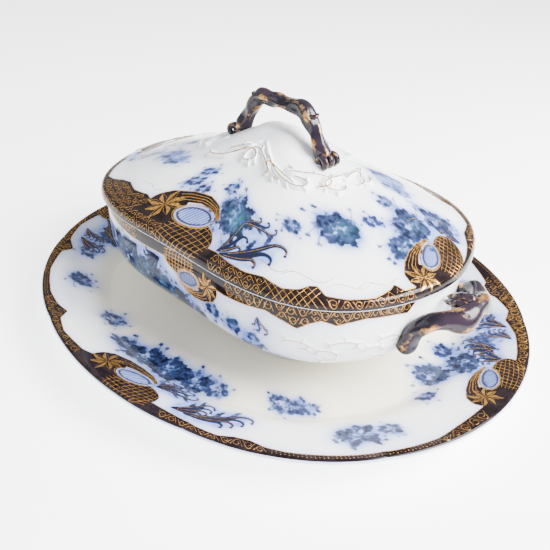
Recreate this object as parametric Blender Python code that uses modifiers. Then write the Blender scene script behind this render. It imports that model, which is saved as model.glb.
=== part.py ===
# Covered soup tureen on a matching oval stand. The lid, bowl and stand are loose
# earthenware pieces; their branch handles, bowl foot and locating ring are separately
# formed and luted on. Metres, +Z up, long axis on X, resting on Z = 0.
import math

import bmesh
import bpy
from mathutils import Vector

# ---- driving dimensions (metres) ----
GAP = 0.0003

STAND_HALF_LENGTH = 0.2000
STAND_ASPECT = 0.8435
STAND_SQUARE = 0.0060
STAND_RIM_TOP = 0.0300
STAND_WELL_TOP = 0.0105
STAND_WALL = 0.0046
STAND_LOBE_DEPTH = 0.0014
STAND_LOBE_START = 0.62
STAND_KINKS_DEG = (-32.0, 32.0, 68.0, 112.0, 148.0, 212.0, 248.0, 292.0, 328.0)
STAND_RING_OUTER = 0.1380
STAND_RING_INNER = 0.1310

BODY_ASPECT = 0.698
BODY_SQUARE = 0.0470
BODY_FLAT_SIDE = 0.0150
BOWL_RIM_HALF = 0.1460
BOWL_RIM_TOP = 0.0929
BOWL_WALL = 0.0046
BOWL_UNDER = 0.0250
BOWL_UNDER_HALF = 0.0810
FOOT_SPREAD_HALF = 0.0900
FOOT_WAIST_HALF = 0.0760
FOOT_WALL = 0.0065

LID_HALF = 0.1519
LID_RIM_Z = BOWL_RIM_TOP + GAP
LID_WALL = 0.0042
LID_CROWN_Z = 0.1558
LID_EDGE = 0.0018
LID_SEAT_HALF = 0.1415
LID_SEAT_RISE = 0.0050
RING_OUTER = 0.1385
RING_INNER = 0.1335
RING_BOTTOM = BOWL_RIM_TOP - 0.0080

LID_HANDLE_FOOT_X = 0.0400
LID_HANDLE_TOP_Z = 0.1756
LID_HANDLE_THICK = 0.0050
LID_CURL_SIZE = (0.0085, 0.0090, 0.0060)

GRIP_ROOT_X = 0.1310
GRIP_ROOT_Y = 0.0300
GRIP_ROOT_Z = 0.0565
GRIP_BAR_X = 0.1625
GRIP_BAR_Z = 0.0825
GRIP_THICK = 0.0060
GRIP_LEAF_X = 0.1525
GRIP_LEAF_Z = 0.0838
GRIP_LEAF_SIZE = (0.0125, 0.0095, 0.0046)

ROUND_STEPS = 48

# ---- profiles at the +X end, (radius, height), followed from the top down the outer side ----
STAND_FACE = (
    (0.0000, STAND_WELL_TOP),
    (0.0700, STAND_WELL_TOP),
    (0.1380, STAND_WELL_TOP + 0.0003),
    (0.1470, STAND_WELL_TOP + 0.0018),
    (0.1540, STAND_WELL_TOP + 0.0056),
    (0.1610, STAND_WELL_TOP + 0.0090),
    (0.1740, STAND_WELL_TOP + 0.0134),
    (0.1880, STAND_RIM_TOP - 0.0018),
    (0.1970, STAND_RIM_TOP),
)
BOWL_SIDE = (
    (1.000, BOWL_RIM_TOP - 0.0015),
    (1.006, BOWL_RIM_TOP - 0.0060),
    (1.007, BOWL_RIM_TOP - 0.0140),
    (1.004, BOWL_RIM_TOP - 0.0240),
    (0.995, BOWL_RIM_TOP - 0.0340),
    (0.964, BOWL_RIM_TOP - 0.0435),
    (0.882, BOWL_RIM_TOP - 0.0520),
    (0.745, BOWL_RIM_TOP - 0.0600),
    (0.590, BOWL_RIM_TOP - 0.0665),
)
LID_SIDE = (
    (0.000, LID_CROWN_Z),
    (0.090, LID_CROWN_Z - 0.0024),
    (0.150, LID_CROWN_Z - 0.0070),
    (0.300, LID_CROWN_Z - 0.0186),
    (0.450, LID_CROWN_Z - 0.0288),
    (0.600, LID_CROWN_Z - 0.0357),
    (0.750, LID_CROWN_Z - 0.0436),
    (0.880, LID_CROWN_Z - 0.0510),
    (0.950, LID_CROWN_Z - 0.0541),
    (0.985, LID_CROWN_Z - 0.0566),
)
# half of the lid handle's line: share of the foot distance, share of the rise, thickness
LID_HANDLE_LINE = (
    (1.090, -0.080, 1.00),
    (0.990, 0.140, 1.15),
    (0.800, 0.470, 0.95),
    (0.520, 0.960, 1.10),
    (0.180, 1.060, 0.95),
)
# half of a bowl handle's line: share of the way out, share of the root's Y, share of the rise, thickness
GRIP_LINE = (
    (0.000, 1.000, -0.060, 1.00),
    (0.220, 1.060, 0.020, 1.05),
    (0.560, 1.000, 0.450, 0.95),
    (0.840, 0.700, 0.880, 0.95),
    (1.020, 0.400, 1.020, 1.15),
    (1.050, 0.000, 1.000, 0.95),
)

CREAM = (0.86, 0.86, 0.83)
PALE_BLUE = (0.72, 0.79, 0.88)
DARK_BRANCH = (0.055, 0.038, 0.045)


def clear_scene():
    for old in list(bpy.data.objects):
        bpy.data.objects.remove(old, do_unlink=True)


def make_material(name, colour, roughness):
    made = bpy.data.materials.new(name)
    made.use_nodes = True
    shader = made.node_tree.nodes["Principled BSDF"]
    shader.inputs["Base Color"].default_value = (*colour, 1.0)
    shader.inputs["Roughness"].default_value = roughness
    made.diffuse_color = (*colour, 1.0)
    return made


def make_collection(name, hidden=False):
    made = bpy.data.collections.new(name)
    bpy.context.scene.collection.children.link(made)
    made.hide_render = hidden
    return made


def add_object(name, mesh, collection, material=None):
    made = bpy.data.objects.new(name, mesh)
    collection.objects.link(made)
    if material is not None:
        mesh.materials.append(material)
    return made


def smooth_line(points, per_span):
    """Catmull-Rom resampling of an open line."""
    ends = [points[0], *points, points[-1]]
    out = []
    for i in range(1, len(ends) - 2):
        p0, p1, p2, p3 = (Vector(ends[i + k]) for k in (-1, 0, 1, 2))
        for step in range(per_span):
            t = step / per_span
            bend = (p1 * 2 + (p2 - p0) * t + (p0 * 2 - p1 * 5 + p2 * 4 - p3) * t * t
                    + (p1 * 3 - p0 - p2 * 3 + p3) * t * t * t)
            out.append(bend * 0.5)
    out.append(Vector(ends[-2]))
    return out


def shift_line(line, distance):
    """The line moved sideways, to the right of its direction."""
    out = []
    for i, point in enumerate(line):
        before = line[max(i - 1, 0)]
        after = line[min(i + 1, len(line) - 1)]
        way = (after - before).normalized()
        out.append(Vector((point[0] + way[1] * distance, point[1] - way[0] * distance)))
    return out


def edge_round(first, last, bulge, count):
    """Points of a rounded lip strictly between two line ends."""
    middle = (first + last) / 2
    arm = first - middle
    side = Vector((arm[1], -arm[0])) * bulge
    out = []
    for k in range(1, count):
        turn = math.pi * k / count
        out.append(middle + arm * math.cos(turn) + side * math.sin(turn))
    return out


def body_plan(turn):
    """Radius factor of the bowl and lid outline: fuller at the corners than an ellipse."""
    return 1.0 - BODY_SQUARE * math.cos(4 * turn) + BODY_FLAT_SIDE * math.cos(6 * turn)


def stand_plan(turn):
    return 1.0 - STAND_SQUARE * math.cos(4 * turn)


def stand_lobe(turn):
    """0 at each notch of the stand's edge, 1 in the middle of each lobe."""
    degrees = (math.degrees(turn) + 32.0) % 360.0 - 32.0
    for low, high in zip(STAND_KINKS_DEG, STAND_KINKS_DEG[1:]):
        if low <= degrees <= high:
            place = (degrees - low) / (high - low)
            return math.sqrt(max(4.0 * place * (1.0 - place), 0.0))
    return 1.0


def body_reshape(point):
    turn = math.atan2(point.y, point.x)
    scale = body_plan(turn)
    return Vector((point.x * scale, point.y * scale * BODY_ASPECT, point.z))


def stand_reshape(point):
    turn = math.atan2(point.y, point.x)
    radius = math.hypot(point.x, point.y)
    reach = radius / STAND_HALF_LENGTH
    grow = max(0.0, (reach - STAND_LOBE_START) / (1.0 - STAND_LOBE_START)) ** 2
    scale = stand_plan(turn) - (STAND_LOBE_DEPTH / STAND_HALF_LENGTH) * grow * (1.0 - stand_lobe(turn))
    return Vector((point.x * scale, point.y * scale * STAND_ASPECT, point.z))


def spin_solid(name, line, collection, reshape, material=None, closed=False):
    """A profile screwed once round Z, then pushed to its oval plan."""
    mesh = bpy.data.meshes.new(name)
    edges = [(i, i + 1) for i in range(len(line) - 1)]
    if closed:
        edges.append((len(line) - 1, 0))
    mesh.from_pydata([(p[0], 0.0, p[1]) for p in line], edges, [])
    source = add_object(name + "_profile", mesh, collection)
    screw = source.modifiers.new("spin", "SCREW")
    screw.axis = "Z"
    screw.angle = math.tau
    screw.steps = ROUND_STEPS
    screw.render_steps = ROUND_STEPS
    screw.use_merge_vertices = True
    screw.merge_threshold = 0.00002
    screw.use_smooth_shade = True
    bpy.context.view_layer.update()
    graph = bpy.context.evaluated_depsgraph_get()
    solid = bpy.data.meshes.new_from_object(source.evaluated_get(graph))
    solid.name = name
    bpy.data.objects.remove(source, do_unlink=True)
    work = bmesh.new()
    work.from_mesh(solid)
    bmesh.ops.remove_doubles(work, verts=work.verts, dist=0.00002)
    for vert in work.verts:
        vert.co = reshape(vert.co)
    bmesh.ops.recalc_face_normals(work, faces=work.faces)
    if work.calc_volume(signed=True) < 0:
        bmesh.ops.reverse_faces(work, faces=work.faces)
    work.to_mesh(solid)
    work.free()
    solid.polygons.foreach_set("use_smooth", [True] * len(solid.polygons))
    return add_object(name, solid, collection, material)


def line_height(line, radius):
    for a, b in zip(line, line[1:]):
        if min(a[0], b[0]) <= radius <= max(a[0], b[0]) and abs(a[0] - b[0]) > 1e-9:
            return a[1] + (b[1] - a[1]) * (radius - a[0]) / (b[0] - a[0])
    return line[-1][1]


def swept_branch(name, nodes, collection):
    """A closed tube along a smooth line; nodes are (x, y, z, radius)."""
    curve = bpy.data.curves.new(name, "CURVE")
    curve.dimensions = "3D"
    curve.bevel_depth = 1.0
    curve.bevel_resolution = 3
    curve.use_fill_caps = True
    curve.resolution_u = 4
    spline = curve.splines.new("NURBS")
    spline.points.add(len(nodes) - 1)
    for point, node in zip(spline.points, nodes):
        point.co = (node[0], node[1], node[2], 1.0)
        point.radius = node[3]
    spline.order_u = 4
    spline.use_endpoint_u = True
    source = add_object(name + "_line", curve, collection)
    bpy.context.view_layer.update()
    graph = bpy.context.evaluated_depsgraph_get()
    mesh = bpy.data.meshes.new_from_object(source.evaluated_get(graph))
    bpy.data.objects.remove(source, do_unlink=True)
    work = bmesh.new()
    work.from_mesh(mesh)
    bmesh.ops.remove_doubles(work, verts=work.verts, dist=0.00001)
    bmesh.ops.recalc_face_normals(work, faces=work.faces)
    work.to_mesh(mesh)
    work.free()
    return add_object(name, mesh, collection)


def lump(name, centre, size, collection):
    mesh = bpy.data.meshes.new(name)
    work = bmesh.new()
    bmesh.ops.create_uvsphere(work, u_segments=12, v_segments=8, radius=1.0)
    for vert in work.verts:
        vert.co = Vector((vert.co.x * size[0], vert.co.y * size[1], vert.co.z * size[2]))
        vert.co += Vector(centre)
    work.to_mesh(mesh)
    work.free()
    return add_object(name, mesh, collection)


def boolean(target, tool, operation):
    cut = target.modifiers.new(operation.lower(), "BOOLEAN")
    cut.operation = operation
    cut.solver = "EXACT"
    cut.object = tool
    bpy.context.view_layer.update()
    graph = bpy.context.evaluated_depsgraph_get()
    made = bpy.data.meshes.new_from_object(target.evaluated_get(graph))
    target.modifiers.clear()
    old = target.data
    target.data = made
    bpy.data.meshes.remove(old)
    work = bmesh.new()
    work.from_mesh(made)
    bmesh.ops.remove_doubles(work, verts=work.verts, dist=0.00003)
    bmesh.ops.dissolve_degenerate(work, edges=work.edges, dist=0.00002)
    work.to_mesh(made)
    work.free()


def finish_branch(target, material):
    target.data.materials.clear()
    target.data.materials.append(material)
    target.data.polygons.foreach_set("use_smooth", [True] * len(target.data.polygons))


clear_scene()
part = make_collection("soup_tureen")
cutters = make_collection("cutters", hidden=True)
glaze = make_material("glazed_earthenware", PALE_BLUE, 0.12)
white_glaze = make_material("white_glaze", CREAM, 0.15)
branch_glaze = make_material("branch_glaze", DARK_BRANCH, 0.22)

# ---- stand: broad lobed rim, flat well, foot ring in one with the body ----
face = smooth_line(STAND_FACE, 2)
under = [p for p in shift_line(smooth_line(STAND_FACE, 1), STAND_WALL) if p[0] > STAND_RING_OUTER + 0.002]
stand_line = list(face)
stand_line += edge_round(face[-1], under[-1], 0.8, 4)
stand_line += reversed(under)
under_z = STAND_WELL_TOP - STAND_WALL
stand_line += [
    Vector((STAND_RING_OUTER + 0.0006, under_z)),
    Vector((STAND_RING_OUTER - 0.0008, 0.0)),
    Vector((STAND_RING_INNER + 0.0008, 0.0)),
    Vector((STAND_RING_INNER - 0.0006, under_z)),
    Vector((0.0, under_z)),
]
stand = spin_solid("stand", stand_line, part, stand_reshape, glaze)

# ---- bowl: deep oval wall with a plain floor ----
side = [Vector((s * BOWL_RIM_HALF, z)) for s, z in BOWL_SIDE]
outer = smooth_line(side, 2)
inner = shift_line(smooth_line(side, 1), BOWL_WALL)
bowl_line = [Vector((0.0, BOWL_UNDER + BOWL_WALL))]
bowl_line += reversed(inner)
bowl_line += edge_round(inner[0], outer[0], 0.6, 4)
bowl_line += outer
bowl_line += [Vector((BOWL_UNDER_HALF, BOWL_UNDER)), Vector((0.0, BOWL_UNDER))]
bowl = spin_solid("bowl", bowl_line, part, body_reshape, glaze)

# ---- bowl foot: spreading oval ring under the bowl ----
foot_top = BOWL_UNDER - GAP
foot_base = STAND_WELL_TOP + GAP
foot_line = [
    Vector((FOOT_WAIST_HALF + 0.0010, foot_top)),
    Vector((FOOT_WAIST_HALF, foot_top - 0.0040)),
    Vector((FOOT_WAIST_HALF + 0.0035, foot_base + 0.0060)),
    Vector((FOOT_SPREAD_HALF - 0.0030, foot_base + 0.0028)),
    Vector((FOOT_SPREAD_HALF, foot_base + 0.0014)),
    Vector((FOOT_SPREAD_HALF - 0.0008, foot_base)),
    Vector((FOOT_SPREAD_HALF - FOOT_WALL, foot_base)),
    Vector((FOOT_WAIST_HALF - 0.0020, foot_base + 0.0050)),
    Vector((FOOT_WAIST_HALF - FOOT_WALL, foot_top - 0.0045)),
    Vector((FOOT_WAIST_HALF - FOOT_WALL, foot_top)),
]
bowl_foot = spin_solid("bowl_foot", foot_line, part, body_reshape, glaze, closed=True)

# ---- lid: ogee dome with a flat seat that rests on the bowl's rim ----
dome = smooth_line([Vector((s * LID_HALF, z)) for s, z in LID_SIDE], 2)
hollow = shift_line(smooth_line([Vector((s * LID_HALF, z)) for s, z in LID_SIDE], 1), LID_WALL)
hollow[0].x = 0.0
hollow = [p for p in hollow if p[0] < RING_INNER - 0.002]
hollow.append(Vector((LID_SEAT_HALF - 0.0025, LID_RIM_Z + LID_SEAT_RISE)))
hollow.append(Vector((LID_SEAT_HALF, LID_RIM_Z)))
lid_line = list(dome)
lid_line.append(Vector((LID_HALF, LID_RIM_Z + LID_EDGE)))
lid_line.append(Vector((LID_HALF - 0.0006, LID_RIM_Z)))
lid_line += reversed(hollow)
lid = spin_solid("lid", lid_line, part, body_reshape, glaze)

# ---- locating ring under the lid ----
ring_line = [
    Vector((RING_INNER, line_height(hollow, RING_INNER) - GAP * 1.3)),
    Vector((RING_OUTER, line_height(hollow, RING_OUTER) - GAP * 1.3)),
    Vector((RING_OUTER - 0.0006, RING_BOTTOM + 0.0008)),
    Vector((RING_OUTER - 0.0020, RING_BOTTOM)),
    Vector((RING_INNER + 0.0008, RING_BOTTOM)),
    Vector((RING_INNER, RING_BOTTOM + 0.0008)),
]
lid_ring = spin_solid("lid_ring", ring_line, part, body_reshape, white_glaze, closed=True)

# ---- cutters: the outsides of lid and bowl, grown by the joint gap ----
grown_dome = shift_line(dome, -GAP)
grown_dome[0].x = 0.0
lid_cutter_line = grown_dome + [Vector((LID_HALF, LID_RIM_Z)), Vector((0.0, LID_RIM_Z))]
lid_cutter = spin_solid("lid_cutter", lid_cutter_line, cutters, body_reshape)
grown_side = shift_line(outer, -GAP)
bowl_cutter_line = [Vector((0.0, BOWL_RIM_TOP))] + grown_side + [Vector((0.0, BOWL_UNDER))]
bowl_cutter = spin_solid("bowl_cutter", bowl_cutter_line, cutters, body_reshape)

# ---- lid handle: an arched branch with leaf curls where it meets the lid ----
foot_z = line_height(dome, LID_HANDLE_FOOT_X)
rise = LID_HANDLE_TOP_Z - LID_HANDLE_THICK - foot_z
half = []
for out, up, thick in LID_HANDLE_LINE:
    half.append((out * LID_HANDLE_FOOT_X, 0.0, foot_z + up * rise, thick * LID_HANDLE_THICK))
arch = [(-x, y, z, r) for x, y, z, r in half] + list(reversed(half))
lid_handle = swept_branch("lid_handle", arch, part)
for sign in (-1.0, 1.0):
    curl = lump("curl", (sign * LID_HANDLE_FOOT_X, 0.0, foot_z), LID_CURL_SIZE, cutters)
    boolean(lid_handle, curl, "UNION")
    bpy.data.objects.remove(curl, do_unlink=True)
boolean(lid_handle, lid_cutter, "DIFFERENCE")
finish_branch(lid_handle, branch_glaze)

# ---- bowl handles: a branch loop at each end with a thumb leaf running back to the bowl ----
for word, sign in (("left", -1.0), ("right", 1.0)):
    half = []
    for out, across, up, thick in GRIP_LINE:
        x = GRIP_ROOT_X + out * (GRIP_BAR_X - GRIP_ROOT_X)
        z = GRIP_ROOT_Z + up * (GRIP_BAR_Z - GRIP_ROOT_Z)
        half.append((sign * x, -across * GRIP_ROOT_Y, z, thick * GRIP_THICK))
    loop = half + [(x, -y, z, r) for x, y, z, r in reversed(half[:-1])]
    grip = swept_branch("bowl_handle_" + word, loop, part)
    leaf = lump("leaf", (sign * GRIP_LEAF_X, 0.0, GRIP_LEAF_Z), GRIP_LEAF_SIZE, cutters)
    boolean(grip, leaf, "UNION")
    bpy.data.objects.remove(leaf, do_unlink=True)
    boolean(grip, bowl_cutter, "DIFFERENCE")
    finish_branch(grip, branch_glaze)

for tool in (lid_cutter, bowl_cutter):
    bpy.data.objects.remove(tool, do_unlink=True)
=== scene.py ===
import math

import bpy
import numpy as np
from mathutils import Matrix, Vector


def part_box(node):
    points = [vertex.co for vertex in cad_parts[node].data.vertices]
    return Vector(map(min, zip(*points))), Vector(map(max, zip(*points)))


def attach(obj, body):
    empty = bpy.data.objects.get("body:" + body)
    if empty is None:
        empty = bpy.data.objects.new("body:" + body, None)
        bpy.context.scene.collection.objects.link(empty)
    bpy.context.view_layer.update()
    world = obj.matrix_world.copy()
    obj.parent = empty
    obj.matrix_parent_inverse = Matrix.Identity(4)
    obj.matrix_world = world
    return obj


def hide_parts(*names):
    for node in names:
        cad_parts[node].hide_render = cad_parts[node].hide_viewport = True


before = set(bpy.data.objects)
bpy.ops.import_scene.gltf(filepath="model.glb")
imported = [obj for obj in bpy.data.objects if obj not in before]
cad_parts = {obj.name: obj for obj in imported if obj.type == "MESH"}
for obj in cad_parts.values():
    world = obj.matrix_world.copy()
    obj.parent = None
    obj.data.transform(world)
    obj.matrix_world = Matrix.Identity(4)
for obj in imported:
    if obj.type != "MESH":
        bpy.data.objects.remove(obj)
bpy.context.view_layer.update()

# ---- the outlines and profiles, in metres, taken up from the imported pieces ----
STAND_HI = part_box("stand")[1]
BOWL_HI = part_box("bowl")[1]
FOOT_LO, FOOT_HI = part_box("bowl_foot")
LID_LO, LID_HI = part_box("lid")
RING_LO, RING_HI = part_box("lid_ring")
ARCH_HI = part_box("lid_handle")[1]

BODY_SQUARE = 0.0470
BODY_FLAT_SIDE = 0.0150
BODY_AXIS = 1.0 - BODY_SQUARE + BODY_FLAT_SIDE
BODY_ASPECT = 0.698
STAND_SQUARE = 0.0060
STAND_ASPECT = 0.8435
STAND_KINKS = (-32.0, 32.0, 68.0, 112.0, 148.0, 212.0, 248.0, 292.0, 328.0)
STAND_DIP = 0.0070          # how far the rim draws in at a kink, as a share of its radius

# ---- the print and the gold lines, in millimetres where nothing else is said ----
MM = 1000.0                 # millimetres in a metre
TINY = 1e-12
FAR = 30.0                  # the distance to the dark ground where there is none
LINE_STEP = 0.75            # from one point of a gold line to the next
SHORTEST_LINE = 0.2
OUTLINE_HALF = 0.26         # half the width of the gold round the dark ground
OUTLINE_FIRST_ROW = 0.6     # the outline keeps off the first row of the sheet
INSET = {"net": 0.15, "ground": 0.30}   # how far gold inside the ground stays from its outline
GOLD_EDGE = 0.00002         # metres from the glaze to the edges of a gold line
GOLD_RIDGE = 0.00012        # metres from the glaze to its middle
LID_RELIEF = 0.0026         # metres, the height of the scrolls moulded on the lid
BOWL_RELIEF = 0.0012
GLAZE_SHARE = 0.94          # the share of the unwrapping that the glaze takes
GOLD_SHARE = (0.955, 0.995)  # the band of it that the gold lines take


def body_plan(turn):
    """The squarish oval of the bowl and the lid, as a share of the radius at each turn."""
    return 1.0 - BODY_SQUARE * np.cos(4 * turn) + BODY_FLAT_SIDE * np.cos(6 * turn)


def stand_plan(turn):
    """The oval of the stand, before its rim is shaped."""
    return 1.0 - STAND_SQUARE * np.cos(4 * turn)


def stand_lobe(turn):
    """1 in the middle of each lobe of the stand's rim, 0 at the kinks between them."""
    degrees = (np.degrees(turn) + 32.0) % 360.0 - 32.0
    out = np.ones_like(degrees)
    for low, high in zip(STAND_KINKS, STAND_KINKS[1:]):
        inside = (degrees >= low) & (degrees <= high)
        place = (degrees - low) / (high - low)
        out = np.where(inside, np.sqrt(np.clip(4 * place * (1 - place), 0, 1)), out)
    return out


def smooth_line(points, spacing):
    """Catmull-Rom through the points, then even steps of about the spacing."""
    pts = np.asarray(points, float)
    ends = np.vstack([pts[0], pts, pts[-1]])
    out = []
    for i in range(1, len(ends) - 2):
        p0, p1, p2, p3 = ends[i - 1], ends[i], ends[i + 1], ends[i + 2]
        t = np.linspace(0, 1, 24, endpoint=False)[:, None]
        out.append(0.5 * (2 * p1 + (p2 - p0) * t + (2 * p0 - 5 * p1 + 4 * p2 - p3) * t**2
                          + (3 * p1 - p0 - 3 * p2 + p3) * t**3))
    line = np.vstack(out + [ends[-2][None]])
    run = np.concatenate([[0], np.cumsum(np.linalg.norm(np.diff(line, axis=0), axis=1))])
    count = max(int(round(run[-1] / spacing)), 2) + 1
    even = np.linspace(0, run[-1], count)
    return np.stack([np.interp(even, run, line[:, k]) for k in range(line.shape[1])], 1)


def swept(turn, line, shape):
    """The points of a section, (radius, height) pairs, taken round an oval: columns by rows."""
    radius, height = (np.repeat(line[None, :, k], len(turn), 0) for k in (0, 1))
    return shape(np.repeat(turn[:, None], len(line), 1), radius, height)


class Sheet:
    """A glazed surface as a grid: columns run round the oval, rows up or in from its edge."""

    def __init__(self, line, shape, columns, outward=1.0):
        self.line = np.asarray(line, float)
        self.shape = shape
        turn = np.linspace(0, 2 * np.pi, 7201)
        edge = shape(turn, *(np.full_like(turn, k) for k in self.line[0]))
        run = np.concatenate([[0], np.cumsum(np.linalg.norm(np.diff(edge, axis=0), axis=1))])
        self.turn = np.interp(np.linspace(0, run[-1], columns, endpoint=False), run, turn)
        self.columns = columns
        self.rows = len(self.line)
        self.points = swept(self.turn, self.line, shape)
        climb = np.linalg.norm(np.diff(self.points, axis=1), axis=2)
        self.up = np.concatenate([np.zeros((columns, 1)), np.cumsum(climb, 1)], 1) * MM
        step = np.linalg.norm(np.roll(self.points, -1, 0) - self.points, axis=2)
        self.across = np.concatenate([np.zeros((1, self.rows)), np.cumsum(step, 0)], 0) * MM
        length = np.linalg.norm(np.diff(self.line, axis=0), axis=1).sum() * MM
        self.row_step = length / (self.rows - 1)
        along = np.roll(self.points, -1, 0) - np.roll(self.points, 1, 0)
        up = np.gradient(self.points, axis=1)
        normal = np.cross(along, up)
        self.normals = outward * normal / np.maximum(np.linalg.norm(normal, axis=2, keepdims=True), TINY)

    def column_of(self, degrees):
        """The column, as a real number, at an angle round the oval."""
        wrap = np.append(self.turn, 2 * np.pi)
        return float(np.interp(math.radians(degrees % 360.0), wrap, np.arange(self.columns + 1)))

    def sample(self, grid, column, row):
        """Bilinear reading of a grid at (column, row)."""
        c0 = np.floor(column).astype(int)
        r0 = np.clip(np.floor(row).astype(int), 0, self.rows - 2)
        fc = (column - c0)
        fr = np.clip(row - r0, 0, 1)
        if grid.ndim == 3:
            fc = fc[:, None]
            fr = fr[:, None]
        a = grid[c0 % self.columns, r0]
        b = grid[(c0 + 1) % self.columns, r0]
        c = grid[c0 % self.columns, r0 + 1]
        d = grid[(c0 + 1) % self.columns, r0 + 1]
        return (a * (1 - fc) + b * fc) * (1 - fr) + (c * (1 - fc) + d * fc) * fr


def body_shape(turn, radius, height):
    """A point of the bowl or the lid."""
    plan = body_plan(turn)
    return np.stack([radius * plan * np.cos(turn), radius * plan * np.sin(turn) * BODY_ASPECT,
                     height + 0 * turn], -1)


def stand_shape(turn, radius, height):
    """A point of the stand; only the outer part of it takes the shape of the rim."""
    half = STAND_HI[0] / (1.0 - STAND_SQUARE)
    grow = np.clip((radius / half - 0.62) / 0.38, 0, None) ** 2
    plan = stand_plan(turn) - STAND_DIP * grow * (1.0 - stand_lobe(turn))
    return np.stack([radius * plan * np.cos(turn), radius * plan * np.sin(turn) * STAND_ASPECT,
                     height + 0 * turn], -1)


lid_half = LID_HI[0] / BODY_AXIS
lid_rim = LID_LO[2]
lid_top = LID_HI[2]
lid_outer = smooth_line([
    (lid_half * 0.9990, lid_rim + 0.0012), (lid_half * 0.9960, lid_rim + 0.0036), (lid_half * 0.985,
                                                                                   lid_rim + 0.0063),
    (lid_half * 0.950, lid_top - 0.0541), (lid_half * 0.880, lid_top - 0.0510), (lid_half * 0.750,
                                                                                 lid_top - 0.0436),
    (lid_half * 0.600, lid_top - 0.0357), (lid_half * 0.450, lid_top - 0.0288), (lid_half * 0.300,
                                                                                 lid_top - 0.0186),
    (lid_half * 0.150, lid_top - 0.0070), (lid_half * 0.090, lid_top - 0.0024), (0.0012, lid_top)], 0.00078)
bowl_half = BOWL_HI[0] / BODY_AXIS / 1.007
bowl_rim = BOWL_HI[2]
bowl_outer = smooth_line([
    (bowl_half * 1.000, bowl_rim - 0.0005), (bowl_half * 1.006, bowl_rim - 0.0060), (bowl_half * 1.007,
                                                                                     bowl_rim - 0.0140),
    (bowl_half * 1.004, bowl_rim - 0.0240), (bowl_half * 0.995, bowl_rim - 0.0340), (bowl_half * 0.964,
                                                                                     bowl_rim - 0.0435),
    (bowl_half * 0.882, bowl_rim - 0.0520), (bowl_half * 0.745, bowl_rim - 0.0600), (bowl_half * 0.590,
                                                                                     bowl_rim - 0.0665),
    (bowl_half * 0.550, bowl_rim - 0.0672)], 0.00080)
stand_half = STAND_HI[0] / (1.0 - STAND_SQUARE)
stand_rim = STAND_HI[2]
well = stand_rim - 0.0195
stand_outer = smooth_line([
    (stand_half - 0.0012, stand_rim - 0.0004), (0.1960, stand_rim), (0.1880, stand_rim - 0.0018),
    (0.1740, well + 0.0134),
    (0.1610, well + 0.0090), (0.1540, well + 0.0056), (0.1470, well + 0.0018), (0.1380, well + 0.0003),
    (0.1020, well)], 0.00085)
lid_sheet = Sheet(lid_outer, body_shape, 1150)
bowl_sheet = Sheet(bowl_outer, body_shape, 1080, -1.0)
stand_sheet = Sheet(stand_outer, stand_shape, 1560)


def local(sheet, degrees, w):
    """Millimetres along the oval and up from its edge, measured from a spot, for every grid point."""
    column = sheet.column_of(degrees)
    low = int(column) % sheet.columns
    part = column - int(column)
    here = sheet.across[low] * (1 - part) + sheet.across[low + 1] * part
    total = sheet.across[-1]
    x = (sheet.across[:-1] - here[None] + total / 2) % total - total / 2
    return x, sheet.up - w


def spot(sheet, degrees, w, x, y):
    """(column, row) of points given in millimetres from a spot."""
    x = np.atleast_1d(np.asarray(x, float))
    y = np.atleast_1d(np.asarray(y, float)) + np.zeros_like(x)
    column = sheet.column_of(degrees)
    low = int(column) % sheet.columns
    part = column - int(column)
    track = sheet.across
    spread = 1.0 / sheet.columns * track[-1, 0]
    col = column + x / spread
    row = np.zeros_like(x)
    for _ in range(3):
        nearest = np.round(col).astype(int) % sheet.columns
        for k in range(len(x)):
            row[k] = np.interp(w + y[k], sheet.up[nearest[k]], np.arange(sheet.rows))
            r = min(int(round(row[k])), sheet.rows - 1)
            here = track[low, r] * (1 - part) + track[low + 1, r] * part
            col[k] = np.interp((here + x[k]) % track[-1, r], track[:, r], np.arange(sheet.columns + 1))
    return col, row


def turned(x, y, angle):
    """Points as seen along an axis at an angle in degrees."""
    a = math.radians(angle)
    return x * math.cos(a) + y * math.sin(a), -x * math.sin(a) + y * math.cos(a)


def to_turn(x, y, angle):
    """The way back from turned."""
    a = math.radians(angle)
    return x * math.cos(a) - y * math.sin(a), x * math.sin(a) + y * math.cos(a)


def soft(d, width=0.5):
    """1 inside (d < 0), 0 outside, over the given width."""
    return np.clip(0.5 - d / width, 0, 1)


def hash_noise(x, y, seed):
    """Smooth value noise in 0..1."""
    xi = np.floor(x).astype(int)
    yi = np.floor(y).astype(int)
    fx = x - xi
    fy = y - yi
    fx = fx * fx * (3 - 2 * fx)
    fy = fy * fy * (3 - 2 * fy)

    def corner(i, j):
        """A number in 0..1 that belongs to one corner of the lattice."""
        v = np.sin(i * 127.1 + j * 311.7 + seed * 74.7) * 43758.5453
        return v - np.floor(v)

    top = corner(xi, yi) * (1 - fx) + corner(xi + 1, yi) * fx
    low = corner(xi, yi + 1) * (1 - fx) + corner(xi + 1, yi + 1) * fx
    return top * (1 - fy) + low * fy


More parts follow.
